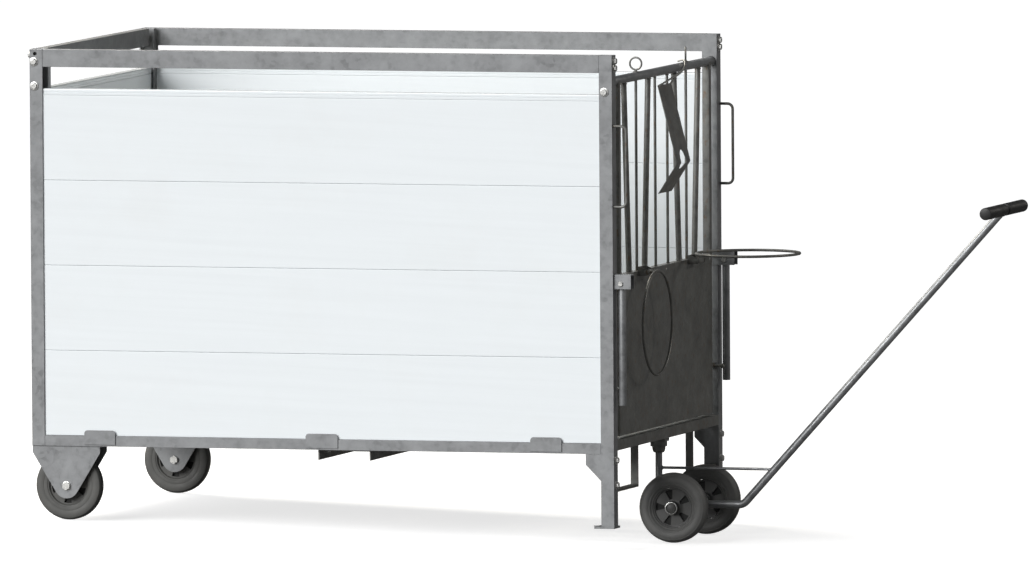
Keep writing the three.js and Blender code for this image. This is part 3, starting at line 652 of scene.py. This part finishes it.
class PEN_OT_frame(bpy.types.Operator):
    """Folded sheet and tube of the frame, kept from the CAD with rounded edges and their finishes; the front
    parts take the darker shaded zinc, which is painted shade
    """

    bl_idname = "calfpen.frame"
    bl_label = "Frame"

    def execute(self, context):
        edge = context.scene.calf_pen_finish.edge_radius
        wanted = [(n, key) for key, names in SINGLE_NODES.items() for n in names]
        for key, names in SHEET_NODES.items():
            wanted += [(f"{n}_{side}", key) for n in names for side in ("near", "far")]
        for name, key in wanted:
            node = frame["nodes"][name]
            node.data.materials.clear()
            node.data.materials.append(material(key))
            round_edges(node, edge, weld=True)
        far = 10000
        bolt = material("fastener")
        painted = 0
        for side, low_y, high_y in (("near", -far, -0.1), ("far", WIDTH + 0.1, far)):
            rear, front = frame["nodes"][f"post_rear_{side}"], frame["nodes"][f"post_front_{side}"]
            for post in (rear, front):
                painted += tint(post, (-far, low_y, -far), (far, high_y, far), bolt)
            painted += tint(front, (LENGTH + 0.1, -far, -far), (far, far, far), bolt)
            painted += tint(rear, (-far, -far, -far), (-0.1, far, far), bolt)
        reach = 14
        bands = (
            ("near", -far, 3.9), ("near", 72.1, far), ("far", -far, WIDTH - 72.1), ("far", WIDTH - 3.9, far),
        )
        for side, low_y, high_y in bands:
            low = (CASTOR[0] - reach, low_y, CASTOR[2] - reach)
            high = (CASTOR[0] + reach, high_y, CASTOR[2] + reach)
            painted += tint(frame["nodes"][f"castor_fork_{side}"], low, high, bolt)
        if not painted:
            raise RuntimeError("no bolt head was found on the posts or forks")
        return {"FINISHED"}


class PEN_OT_fasteners(bpy.types.Operator):
    """Bolts, nuts, rivets and weld seams of the frame and the gate panel"""

    bl_idname = "calfpen.fasteners"
    bl_label = "Fasteners"

    def execute(self, context):
        out, front = (0, -1, 0), (1, 0, 0)
        near = []
        nut = [[0.1, 0], [7, 0], [7, 5], [6, 6], [0.1, 6]]
        washer = [[9.0, 0], [12.5, 0], [12.7, 0.3], [12.7, 1.3], [12.3, 1.6], [9.0, 1.6]]
        for x, z in ((13, 1302), (14, 1233), (1698, 1234)):
            near.append(turned(washer, (x, 0, z), out, 32, closed=True))
        for z in (1321, 1301, 193, 123):
            near.append(turned(washer, (LENGTH, 20, z), front, 32, closed=True))
            near.append(turned(nut, (LENGTH - 4.0, 20, z), (-1, 0, 0), 6))
            near.append(stud_end((LENGTH - 9.6, 20, z), (-1, 0, 0), 4, 5))
        near.append(turned(washer, (0, 20, 1321), (-1, 0, 0), 32, closed=True))
        near.append(turned(washer, (CASTOR[0], 4, CASTOR[2]), out, 32, closed=True))
        for y in (60, 300):
            near += hex_head((860, y, 206.8), (0, 0, -1), 8, 6)
        bolts = both_sides(near)
        piece("washers_and_nuts", bolts, material("fastener"), "pen")
        rivets = []
        for y in (108, 160, 555, 950, 1002):
            rivets.append(turned([[0.1, 0], [3.6, 0], [3.2, 0.8], [2, 1.4], [0.1, 1.6]],
                                 (PANEL_FRONT, y, 700), front, 16))
        piece("panel_rivets", rivets, material("fastener"), "gate")
        back, face, low, high = PANEL_FRONT - 1, PANEL_FRONT + 0.9, 687.5, PANEL_TOP - 0.2
        lip = round_corners([[back, low], [face, low], [face, high], [back, high]], 0.4)
        parts = [prism(lip, 1, 84.5, WIDTH - 84.5)]
        piece("panel_lip", parts, material("zinc_shade"), "gate")
        welds = []
        for x in (1667.0, 1690.0, 1712.0):
            welds.append(weld_bead([[x - 8, 4.6, 8.0], [x + 6, 4.6, 8.0]], 1.6))
        piece("foot_welds", both_sides(welds), material("zinc_side"), "pen")
        return {"FINISHED"}


# ------------------------------------------------------------------ gate
def mesh_gate_bars():
    """Top tube, two square stiles, four slanted bars and two thin rods, with a weld at each joint."""
    parts = [rod((HINGE_X, 4.6, HINGE_Z), (HINGE_X, WIDTH - 4.6, HINGE_Z), 12.5, 36, bead=1.0)]
    welds = []
    for side in (-1, 1):
        y0 = MIDDLE + side * (MIDDLE - 94)
        parts.append(box_part((LENGTH - 24, LENGTH - 4), (y0 - 10, y0 + 10), (PANEL_TOP + 0.3, HINGE_Z), 2.0))
        for top, low in ((378, 333), (131, 176)):
            start = np.array([HINGE_X, MIDDLE + side * top, HINGE_Z - 5])
            end = np.array([HINGE_X, MIDDLE + side * low, PANEL_TOP + 1.2])
            parts.append(rod(start, end, 8.25, 24))
            along = unit(end - start)
            welds.append(collar_weld(start + along * 9.0, along, 8.2, 1.8))
            welds.append(collar_weld(end - along * 2.2, along, 8.2, 1.6))
        thin = MIDDLE + side * 62
        parts.append(rod((HINGE_X, thin, HINGE_Z - 5), (HINGE_X, thin, PANEL_TOP + 0.3), 4, 16))
        welds.append(collar_weld((HINGE_X, thin, HINGE_Z - 13.5), (0, 0, 1), 4, 1.2))
        welds.append(collar_weld((HINGE_X, thin, PANEL_TOP + 1.8), (0, 0, 1), 4, 1.2))
        bush = MIDDLE + side * ROD_OFFSET
        parts.append(turned([[5, 10], [8, 10], [8, 14], [7.4, 14.5], [5, 14.5]],
                            (HINGE_X, bush, HINGE_Z), (0, 0, 1), 24, closed=True))
    return parts, welds


def mesh_ring_rod(y, turn):
    """Drop rod with a pull ring on top and a pointed foot."""
    angle = np.linspace(0, 2 * math.pi, 40, endpoint=False)[:, None]
    across = np.array([math.cos(turn), math.sin(turn), 0.0])
    circle = np.cos(angle) * across + np.sin(angle) * np.array([0, 0, 1.0])
    ring = np.array([HINGE_X, y, 1298.0]) + 17.25 * circle
    normal = np.array([-math.sin(turn), math.cos(turn), 0.0])
    return [
        rod((HINGE_X, y, 690), (HINGE_X, y, 1281), 4, 20, bead=2.5),
        sweep(ring, 2.75, normal, 12, closed=True),
    ]


class PEN_OT_gate(bpy.types.Operator):
    """Gate bars, drop rods with pull rings, and the two latch pins"""

    bl_idname = "calfpen.gate"
    bl_label = "Gate"

    def execute(self, context):
        parts, welds = mesh_gate_bars()
        tube = [parts.pop(0)]
        piece("gate_tube", tube, material("tube"), "gate")
        piece("gate_bars", parts + welds, material("zinc_shade"), "gate", ["gate_frame"])
        for side, sign, turn in (("near", -1, 0.0), ("far", 1, FAR_RING_TURN)):
            body = f"ring_rod_{side}"
            parts = mesh_ring_rod(MIDDLE + sign * ROD_OFFSET, turn)
            piece(f"drop_rod_{side}", parts, material("zinc_shade"), body, [body])
        x, z, y = LENGTH - 13, 390.0, 60.0
        ball = np.linspace(-math.pi / 2, math.pi / 2, 13)
        profile = np.c_[np.maximum(7 * np.cos(ball), 0.05), 7 * np.sin(ball)]
        pin = [
            rod((x, 14, z), (x, 82, z), 5, 24, bead=1.5),
            rod((x, y, z), (LENGTH + 16, y, z), 4, 16),
            turned(profile, (LENGTH + 18, y, z), (1, 0, 0), 24),
            turned([[5.1, -2], [8, -2], [8, 2], [5.1, 2]], (x, 48, z), (0, 1, 0), 24, closed=True),
        ]
        for side, parts in (("near", pin), ("far", mirror(pin))):
            node = f"latch_pin_{side}"
            piece(f"latch_{side}_pin", parts, material("zinc_shade"), f"latch_{side}", [node])
        return {"FINISHED"}


def mesh_bucket_ring(y, hanging):
    """Hoop with two lugs, a barrel and a pivot pin, lying level or turned to hang down."""
    angle = np.linspace(0, 2 * math.pi, 120, endpoint=False)[:, None]
    circle = np.hstack([np.cos(angle), np.sin(angle), np.zeros_like(angle)])
    hoop = np.array([143.5, 0, 22.0]) + 147.5 * circle
    parts = [
        sweep(hoop, 4, (0, 0, 1), 14, closed=True),
        rod((0, -26.5, 0), (0, 26.5, 0), 7, 24, bead=1.0),
        rod((0, -33.5, 0), (0, 33.5, 0), 4, 20, bead=0.8),
    ]
    for side in (-1, 1):
        parts.append(rod((-2.6, side * 20, 22), (0, side * 20, 0), 4, 14))
        parts.append(rod((0, side * 30.5, 0), (0, side * 33.5, 0), 7, 24, bead=0.8))
        parts.append(collar_weld((-1.0, side * 20, 8), (0, 0, 1), 3.8, 1.3))
    turn = np.array([[0, 0, -1.0], [0, 1, 0], [1, 0, 0]]) if hanging else np.eye(3)
    place = np.array([RING_PIVOT_X, y, RING_PIVOT_Z])
    return [(v @ turn + place, f) for v, f in parts]


class PEN_OT_bucket_rings(bpy.types.Operator):
    """Two hoops for buckets: the near one hangs, the far one is up"""

    bl_idname = "calfpen.bucket_rings"
    bl_label = "Bucket rings"

    def execute(self, context):
        for side, y, hanging in (("near", MIDDLE - ROD_OFFSET, True), ("far", MIDDLE + ROD_OFFSET, False)):
            body = f"bucket_ring_{side}"
            piece(f"hoop_{side}", mesh_bucket_ring(y, hanging), material("zinc_shade"), body, [body])
        return {"FINISHED"}


def mesh_bottle_strap():
    """Folded strap with a round hole across the fold.

    Seen from the front the strap is a stack of columns across Y. Beside the hole each column runs
    from the top edge round the fold to the lower edge. Over the hole a column stops where the
    circle half_height = sqrt(radius^2 - (y - centre)^2) cuts each of the two flats.
    """
    top, fold, end = np.array([10.0, 1228]), np.array([66.0, 1008]), np.array([10.0, 921])
    radius, hole_y, hole_z = 27.5, 502.0, 1016.0
    up, down = (top - fold) / (top - fold)[1], (end - fold) / (fold - end)[1]
    behind = np.array([LENGTH - 3.0, -0.3])

    def column(y, points):
        front = np.array(points) + [LENGTH, 0]
        back = np.array(points)[::-1] + behind
        outline = np.vstack([front, back])
        return np.stack([outline[:, 0], np.full(len(outline), y), outline[:, 1]], axis=1)

    across = hole_y - radius * np.cos(np.linspace(0, math.pi, 25))
    half = np.sqrt(np.maximum(radius**2 - (across - hole_y) ** 2, 0))
    above = np.maximum(hole_z + half - fold[1], 0.01)
    below = np.maximum(fold[1] - hole_z + half, 0.01)
    upper = np.stack([column(y, [top, fold + up * rise]) for y, rise in zip(across, above)])
    lower = np.stack([column(y, [fold + down * drop, end]) for y, drop in zip(across, below)])
    whole = [top, fold + up * 2.5, fold + (-0.6, 0), fold - down * -2.5, end]
    sides = [np.stack([column(y, whole) for y in ends]) for ends in ((437, across[0]), (across[-1], 567))]
    return [capped(rings) for rings in (upper, lower, *sides)]


class PEN_OT_bottle_holder(bpy.types.Operator):
    """Bottle holder: a folded strap hung by a twisted wire that hooks over the top tube"""

    bl_idname = "calfpen.bottle_holder"
    bl_label = "Bottle holder"

    def execute(self, context):
        hook = bend_line([
            [LENGTH + 8.5, 441, 1226], [LENGTH + 4, 620, 1243], [LENGTH + 2.5, 700, 1254],
            [LENGTH + 1, 740, 1266], [LENGTH - 5, 762, 1280], [HINGE_X, 770, 1281.5],
            [HINGE_X - 13, 771, 1277],
        ], 10, 5)
        stay = bend_line([
            [LENGTH + 8.5, 563, 1226], [LENGTH + 5, 620, 1240], [LENGTH + 2.5, 690, 1252.6],
        ], 10, 5)
        where = np.linspace(0, 1, 70)
        start, end = np.array([LENGTH + 4, 620, 1242.5]), np.array([LENGTH + 2.5, 698, 1253.5])
        angle = where * 2 * math.pi * 6
        twist = start + where[:, None] * (end - start)
        twist = twist + 3.4 * np.cos(angle)[:, None] * [1.0, 0, 0]
        twist = twist + 3.4 * np.sin(angle)[:, None] * [0, -0.14, 0.99]
        parts = [
            sweep(hook, 2.7, (0, 0, 1), 12, bead=1.0),
            sweep(stay, 2.7, (0, 0, 1), 12, bead=1.0),
            sweep(twist, 1.3, (1, 0, 0), 8),
        ]
        piece("bottle_strap", mesh_bottle_strap(), material("zinc_shade"), "bottle_holder",
              ["bottle_holder"], bevel=0.0006)
        piece("bottle_wire", parts, material("wire"), "bottle_holder", ())
        return {"FINISHED"}


# ------------------------------------------------------------------ handles
class PEN_OT_handles(bpy.types.Operator):
    """Grab handles through the post flanges, and folding lift handles on their pivots"""

    bl_idname = "calfpen.handles"
    bl_label = "Handles"

    def execute(self, context):
        grab_path = bend_line([[LENGTH - 21, 10, 1138], [LENGTH + 38, 10, 1138],
                               [LENGTH + 38, 10, 910], [LENGTH - 21, 10, 910]], 15, 8)
        grab = [sweep(grab_path, 4, (0, 1, 0), 18, bead=0.8)]
        lift = [rod((LIFT_X, 26, 347), (LIFT_X, 26, LIFT_Z + 9), 11, 36, bead=1.2)]
        pivot = [
            rod((LIFT_X, 5, LIFT_Z), (LIFT_X, 47, LIFT_Z), 4, 20),
            turned([[0.1, 0], [8, 0], [8, 2.3], [7, 3.1], [0.1, 3.1]], (LIFT_X, 7.5, LIFT_Z), (0, -1, 0), 6),
            turned([[0.1, 0], [8, 0], [8, 2.3], [7, 3.1], [0.1, 3.1]], (LIFT_X, 44.5, LIFT_Z), (0, 1, 0), 6),
        ]
        for side, change in (("near", list), ("far", mirror)):
            body = f"lift_handle_{side}"
            node = f"grab_handle_{side}"
            piece(f"grab_{side}", change(grab), material("zinc_shade"), "pen", [node])
            piece(f"lift_pivot_{side}", change(pivot), material("fastener"), body, ())
            piece(f"lift_tube_{side}", change(lift), material("zinc_side"), body, [body])
        return {"FINISHED"}


# ------------------------------------------------------------------ wheels
def wheel_web(centre, first, face, wall, hub, rim):
    """Five broad spokes between wedge pockets, and the thin wall at the bottom of the pockets.

    A spoke's outline runs out along the side of one pocket, round an arc of the rim, back along the
    side of the next pocket and round an arc of the hub.
    """
    x, y, z = centre
    floor = turned([[hub, -wall], [rim, -wall], [rim, wall], [hub, wall]], centre, (0, 1, 0), 60, closed=True)
    spokes = []
    for i in range(5):
        here = first + 2 * math.pi * i / 5
        after = here + 2 * math.pi / 5
        outer = np.linspace(here + math.atan2(12, 51), after - math.atan2(12, 51), 12)
        inner = np.linspace(after - math.atan2(4, 24), here + math.atan2(4, 24), 8)
        angle = np.r_[outer, inner]
        radius = np.r_[np.full(12, rim), np.full(8, 24.0)]
        outline = np.stack([x + radius * np.cos(angle), z + radius * np.sin(angle)], axis=1)
        spokes.append(prism(outline, 1, y - face, y + face))
    return spokes, floor


def castor_parts():
    """Solid castor wheel: crowned tread with a parting line, stepped side wall, pocketed web and a hub."""
    tread = 97.9
    half = [
        [51, -10], [54.6, -10.2], [56.5, -14.2], [58, -15.8], [61, -16.4], [62.2, -17.6], [70, -18.9],
        [72, -18.4], [74, -19.3], [88, -19.3], [92.5, -17.6], [96.2, -12.6], [tread, -6], [tread, -0.6],
        [tread - 0.7, 0],
    ]
    tyre = half + [[r, -h] for r, h in half[-2::-1]]
    hub = [[8, -23], [19.4, -23], [20.2, -22.2], [22, -11], [24.3, -10], [24.3, 10], [22, 11], [20.2, 22.2],
           [19.4, 23], [8, 23]]
    parts = [turned(profile, CASTOR, (0, 1, 0), 96, closed=True) for profile in (tyre, hub)]
    spokes, floor = wheel_web(CASTOR, 0.87, 10, 2, 20, 53)
    return parts + spokes, [floor]


def tyre_parts(y):
    """Dolly tyre: round shoulders, side-wall steps, a crowned tread with three grooves."""
    top = 99.6
    half = [
        [57, -12.9], [60, -15.8], [61.6, -15.9], [63.4, -18.6], [67, -20.8], [69, -20.6], [71, -22.2],
        [80, -23.9], [87, -22.4], [90, -20.6], [91, -20.8], [95, -16.6], [98, -11.5], [top - 0.4, -9],
        [98, -8.4], [98, -7.4], [top, -6.6], [top, -1.2], [98, -0.6], [98, 0],
    ]
    profile = half + [[r, -h] for r, h in half[-2::-1]]
    return [turned(profile, (AXLE_X, y, AXLE_Z), (0, 1, 0), 112, closed=True)]


def rim_parts(y):
    """Dolly rim: an outer ring and a hub either side of the pocketed web."""
    ring = [[51, -8], [52.6, -8.2], [53.6, -11.8], [54.4, -12.4], [56, -12.4], [56.5, -11.9], [56.5, 11.9],
            [56, 12.4], [54.4, 12.4], [53.6, 11.8], [52.6, 8.2], [51, 8]]
    hub = [[8.6, -23.8], [16.2, -23.8], [17, -23], [18.6, -9.4], [20, -8.2], [24.3, -8], [24.3, 8], [20, 8.2],
           [18.6, 9.4], [17, 23], [16.2, 23.8], [8.6, 23.8]]
    place = (AXLE_X, y, AXLE_Z)
    parts = [turned(ring, place, (0, 1, 0), 80, closed=True), turned(hub, place, (0, 1, 0), 48, closed=True)]
    spokes, floor = wheel_web(place, 0.576, 8, 1.5, 19, 53)
    return parts + spokes, [floor]


class PEN_OT_castors(bpy.types.Operator):
    """Two solid rear castor wheels"""

    bl_idname = "calfpen.castors"
    bl_label = "Castor wheels"

    def execute(self, context):
        solid, floor = castor_parts()
        for side, change in (("near", list), ("far", mirror)):
            body = f"castor_wheel_{side}"
            piece(f"castor_tread_{side}", change(solid), material("castor"), body, [body], sharp=30)
            # Pocket floors in near-black, as painted shade inside the pockets
            piece(f"castor_pocket_shade_{side}", change(floor), material("pocket"), body, ())
        return {"FINISHED"}


# ------------------------------------------------------------------ dolly
def grip_profile(length):
    """Ribbed sleeve as [radius, height], closed at its outer end.

    The radius is a mean radius plus a cosine of the height, cut off below to leave flat valleys.
    """
    first_rib, rib_pitch, rib_depth, mean_radius = 6, 7.2, 0.75, 16.9
    height = np.linspace(first_rib, length - 5, 150)
    wave = np.cos((height - first_rib) * 2 * math.pi / rib_pitch)
    body = np.c_[mean_radius + rib_depth * np.clip(wave, -0.4, 1), height]
    start = [[0.1, 0], [15.2, 0], [16.8, 0.8], [17.6, 2.4], [17.6, 5]]
    end = [[17.5, length - 4], [17.5, length - 1], [16.6, length], [11.5, length]]
    return np.vstack([start, body, end])


class PEN_OT_dolly(bpy.types.Operator):
    """Dolly: bent drawbar, post, brace, axle, T-bar with ribbed grips, and two tyred wheels"""

    bl_idname = "calfpen.dolly"
    bl_label = "Dolly"

    def execute(self, context):
        drawbar = bend_line([[SWIVEL_X - 4, MIDDLE, 32], [1940, MIDDLE, 32], [BAR_X, MIDDLE, BAR_Z]], 30, 14)
        slope = (BAR_Z - 32) / (BAR_X - 1940)
        brace_end = 1940 + (134 - 32) / slope
        parts = [
            sweep(drawbar, 11, (0, 1, 0), 36),
            rod((SWIVEL_X, MIDDLE, 27), (SWIVEL_X, MIDDLE, 206), 10, 32, bead=1.0),
            rod((SWIVEL_X, MIDDLE, 134), (brace_end, MIDDLE, 134), 4, 18),
            rod((BAR_X, MIDDLE - 190, BAR_Z), (BAR_X, MIDDLE + 190, BAR_Z), 11, 36),
            rod((AXLE_X, MIDDLE - 197, AXLE_Z), (AXLE_X, MIDDLE + 197, AXLE_Z), 8, 28),
            collar_weld((SWIVEL_X, MIDDLE, 44), (0, 0, 1), 10.3, 2.0),
            collar_weld((SWIVEL_X + 11, MIDDLE, 134), (1, 0, 0), 4, 1.6),
            collar_weld((brace_end - 9, MIDDLE, 134), (1, 0, 0), 4.4, 1.6),
            collar_weld((AXLE_X, MIDDLE - 11, AXLE_Z), (0, 1, 0), 8.2, 1.8),
            collar_weld((AXLE_X, MIDDLE + 11, AXLE_Z), (0, 1, 0), 8.2, 1.8),
            collar_weld((BAR_X - 9, MIDDLE, BAR_Z - 9.9), (0.67, 0, 0.74), 11.2, 1.8),
        ]
        piece("dolly_bars", parts, material("tube"), "dolly", ["dolly_frame"])
        caps, discs = [], []
        cap = [[15.2, 0], [17.6, 0], [18, 0.5], [18, 5.2], [17.2, 6.2], [15.8, 6.4], [15.2, 5.8]]
        disc = [[0.1, 0], [15.4, 0], [15.4, 2.6], [13.6, 3.0], [13.2, 5.2], [12.2, 6.0], [0.1, 6.2]]
        collar = [[8.1, 0], [12, 0], [12, 5.6], [11.5, 6], [8.1, 6]]
        for side in (-1, 1):
            outer = MIDDLE + side * (WHEEL_OFFSET + 24.5)
            inner = MIDDLE + side * (WHEEL_OFFSET - 24.5)
            caps.append(turned(cap, (AXLE_X, outer, AXLE_Z), (0, side, 0), 48, closed=True))
            discs.append(turned(disc, (AXLE_X, outer, AXLE_Z), (0, side, 0), 40))
            caps.append(turned(collar, (AXLE_X, inner, AXLE_Z), (0, -side, 0), 32, closed=True))
        piece("axle_rings", caps, material("fastener"), "dolly", ())
        piece("axle_discs", discs, material("rim"), "dolly", ())
        for side, sign in (("near", -1), ("far", 1)):
            y = MIDDLE + sign * WHEEL_OFFSET
            body = f"dolly_wheel_{side}"
            node = f"dolly_tyre_{side}"
            piece(f"tyre_{side}", tyre_parts(y), material("tyre"), body, [node], sharp=30)
            solid, floor = rim_parts(y)
            piece(f"spoked_rim_{side}", solid, material("rim"), body, [f"dolly_rim_{side}"])
            # Pocket floors in near-black, as painted shade inside the pockets
            piece(f"rim_pocket_shade_{side}", floor, material("pocket"), body, ())
            outer_end = (BAR_X, MIDDLE + sign * BAR_HALF, BAR_Z)
            sleeve = [turned(grip_profile(BAR_HALF - 11.5), outer_end, (0, -sign, 0), 40)]
            node = f"grip_{side}"
            piece(f"ribbed_grip_{side}", sleeve, material("grip"), "dolly", [node], sharp=50)
        cup = [
            [12, 177], [13.6, 177.2], [15.6, 179], [17.4, 182.6], [18.5, 187], [19, 192], [19, 195],
            [23.4, 195], [24, 195.8], [24, 210.4], [23.4, 211], [12, 211],
        ]
        saddle = box_part((SWIVEL_X - 18, LENGTH - 4), (MIDDLE - 22, MIDDLE + 22), (209.5, 218.7), 2.0)
        bowl = turned(cup, (SWIVEL_X, MIDDLE, 0), (0, 0, 1), 48, closed=True)
        parts = [bowl, saddle]
        piece("dolly_socket", parts, material("zinc_shade"), "pen", ["dolly_cup"])
        return {"FINISHED"}


# ------------------------------------------------------------------ stage
def aim(obj, place, target):
    """Puts a lamp or camera at a place, looking at a target."""
    obj.location = place
    obj.rotation_euler = (Vector(target) - Vector(place)).to_track_quat("-Z", "Y").to_euler()


def sun_lamp(name, toward, strength, spread):
    """Even light over the whole floor, from one direction, with soft shadows."""
    data = bpy.data.lights.new(name, "SUN")
    data.energy = strength
    data.angle = spread
    lamp = bpy.data.objects.new(name, data)
    bpy.context.scene.collection.objects.link(lamp)
    aim(lamp, toward, (0, 0, 0))
    return lamp


def area_lamp(name, place, target, size, power, tint=(1, 1, 1)):
    data = bpy.data.lights.new(name, "AREA")
    data.shape = "RECTANGLE"
    data.size, data.size_y = size
    data.energy = power
    data.color = tint
    lamp = bpy.data.objects.new(name, data)
    bpy.context.scene.collection.objects.link(lamp)
    aim(lamp, place, target)
    return lamp


class PEN_OT_stage(bpy.types.Operator):
    """Pale floor, soft lights and the camera"""

    bl_idname = "calfpen.stage"
    bl_label = "Stage"

    def execute(self, context):
        settings = context.scene.calf_pen_stage
        angle = np.linspace(0, 2 * math.pi, 96, endpoint=False)
        rim = np.stack([60 * np.cos(angle), 60 * np.sin(angle), np.full(96, -0.0005)], axis=1)
        mesh = bpy.data.meshes.new("stage_floor")
        mesh.from_pydata(rim.tolist(), [], [list(range(96))])
        floor = bpy.data.objects.new("stage_floor", mesh)
        mesh.materials.append(stage_floor("stage_pale"))
        context.scene.collection.objects.link(floor)
        floor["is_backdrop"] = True
        world = bpy.data.worlds.new("soft_room")
        context.scene.world = world
        world.use_nodes = True
        tree = world.node_tree
        room = tree.nodes["Background"]
        room.inputs["Color"].default_value = (0.93, 0.96, 1.0, 1)
        room.inputs["Strength"].default_value = 0.12
        backdrop = tree.nodes.new("ShaderNodeBackground")
        backdrop.inputs["Color"].default_value = (1, 1, 1, 1)
        backdrop.inputs["Strength"].default_value = 1.0
        ray = tree.nodes.new("ShaderNodeLightPath")
        choose = tree.nodes.new("ShaderNodeMixShader")
        tree.links.new(ray.outputs["Is Camera Ray"], choose.inputs[0])
        tree.links.new(room.outputs[0], choose.inputs[1])
        tree.links.new(backdrop.outputs[0], choose.inputs[2])
        tree.links.new(choose.outputs[0], tree.nodes["World Output"].inputs["Surface"])
        sun_lamp("sky", (-0.46, -0.85, 0.44), 3.25, math.radians(40))
        area_lamp("overhead", (-3.2, 1.2, 3.6), (0.0, 0, 1.0), (3.0, 1.6), 170, (1, 0.95, 0.86))
        area_lamp("front_edge", (4.6, 1.5, 3.2), (0.9, 0, 0.6), (1.5, 1.0), 45, (1, 0.96, 0.9))
        a, e = settings.azimuth, settings.elevation
        right = np.array([math.cos(a), math.sin(a), 0.0])
        up = np.array([-math.sin(a) * math.sin(e), math.cos(a) * math.sin(e), math.cos(e)])
        back = np.array([math.sin(a) * math.cos(e), -math.cos(a) * math.cos(e), math.sin(e)])
        roll = -0.006
        right, up = unit(right + roll * up), unit(up - roll * right)
        foot_right, foot_down = 0.2744, 0.6971
        foot = to_row([LENGTH, 0, 0])
        right, up, back = right @ PEN_AXES, up @ PEN_AXES, back @ PEN_AXES
        target = foot - right * foot_right + up * foot_down
        data = bpy.data.cameras.new("camera")
        data.sensor_width = 36
        data.lens = 36 * (settings.distance + settings.middle_depth) / settings.view_width
        data.clip_start, data.clip_end = 10.0, 300.0
        camera = bpy.data.objects.new("camera", data)
        context.scene.collection.objects.link(camera)
        turn = Matrix([[right[k], up[k], back[k]] for k in range(3)])
        camera.matrix_world = Matrix.Translation(Vector(target + back * settings.distance)) @ turn.to_4x4()
        context.scene.camera = camera
        context.scene.view_settings.view_transform = "Standard"
        return {"FINISHED"}


# ------------------------------------------------------------------ add-on
OPERATORS = (
    PEN_OT_walls, PEN_OT_frame, PEN_OT_fasteners, PEN_OT_gate, PEN_OT_bucket_rings,
    PEN_OT_bottle_holder, PEN_OT_handles, PEN_OT_castors, PEN_OT_dolly, PEN_OT_stage,
)


class PEN_PT_panel(bpy.types.Panel):
    """Lists the pen's settings and builders"""

    bl_idname = "PEN_PT_panel"
    bl_label = "Calf Pen"
    bl_space_type = "VIEW_3D"
    bl_region_type = "UI"
    bl_category = "Calf Pen"

    def draw(self, context):
        for settings in (context.scene.calf_pen_finish, context.scene.calf_pen_stage):
            for name in settings.bl_rna.properties.keys():
                if name not in ("rna_type", "name"):
                    self.layout.prop(settings, name)
        for operator in OPERATORS:
            self.layout.operator(operator.bl_idname)


CLASSES = (CalfPenFinish, CalfPenStage, *OPERATORS, PEN_PT_panel)


def register():
    for cls in CLASSES:
        bpy.utils.register_class(cls)
    bpy.types.Scene.calf_pen_finish = bpy.props.PointerProperty(type=CalfPenFinish)
    bpy.types.Scene.calf_pen_stage = bpy.props.PointerProperty(type=CalfPenStage)


def unregister():
    del bpy.types.Scene.calf_pen_stage
    del bpy.types.Scene.calf_pen_finish
    for cls in reversed(CLASSES):
        bpy.utils.unregister_class(cls)


def corners():
    """The shown object's lowest and highest corners as plain lists."""
    return [list(corner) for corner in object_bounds()]


def main():
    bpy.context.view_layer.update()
    register()
    make_materials(bpy.context.scene.calf_pen_finish)
    for operator in OPERATORS:
        group, name = operator.bl_idname.split(".")
        getattr(getattr(bpy.ops, group), name)()


if __name__ == "__main__":
    main()
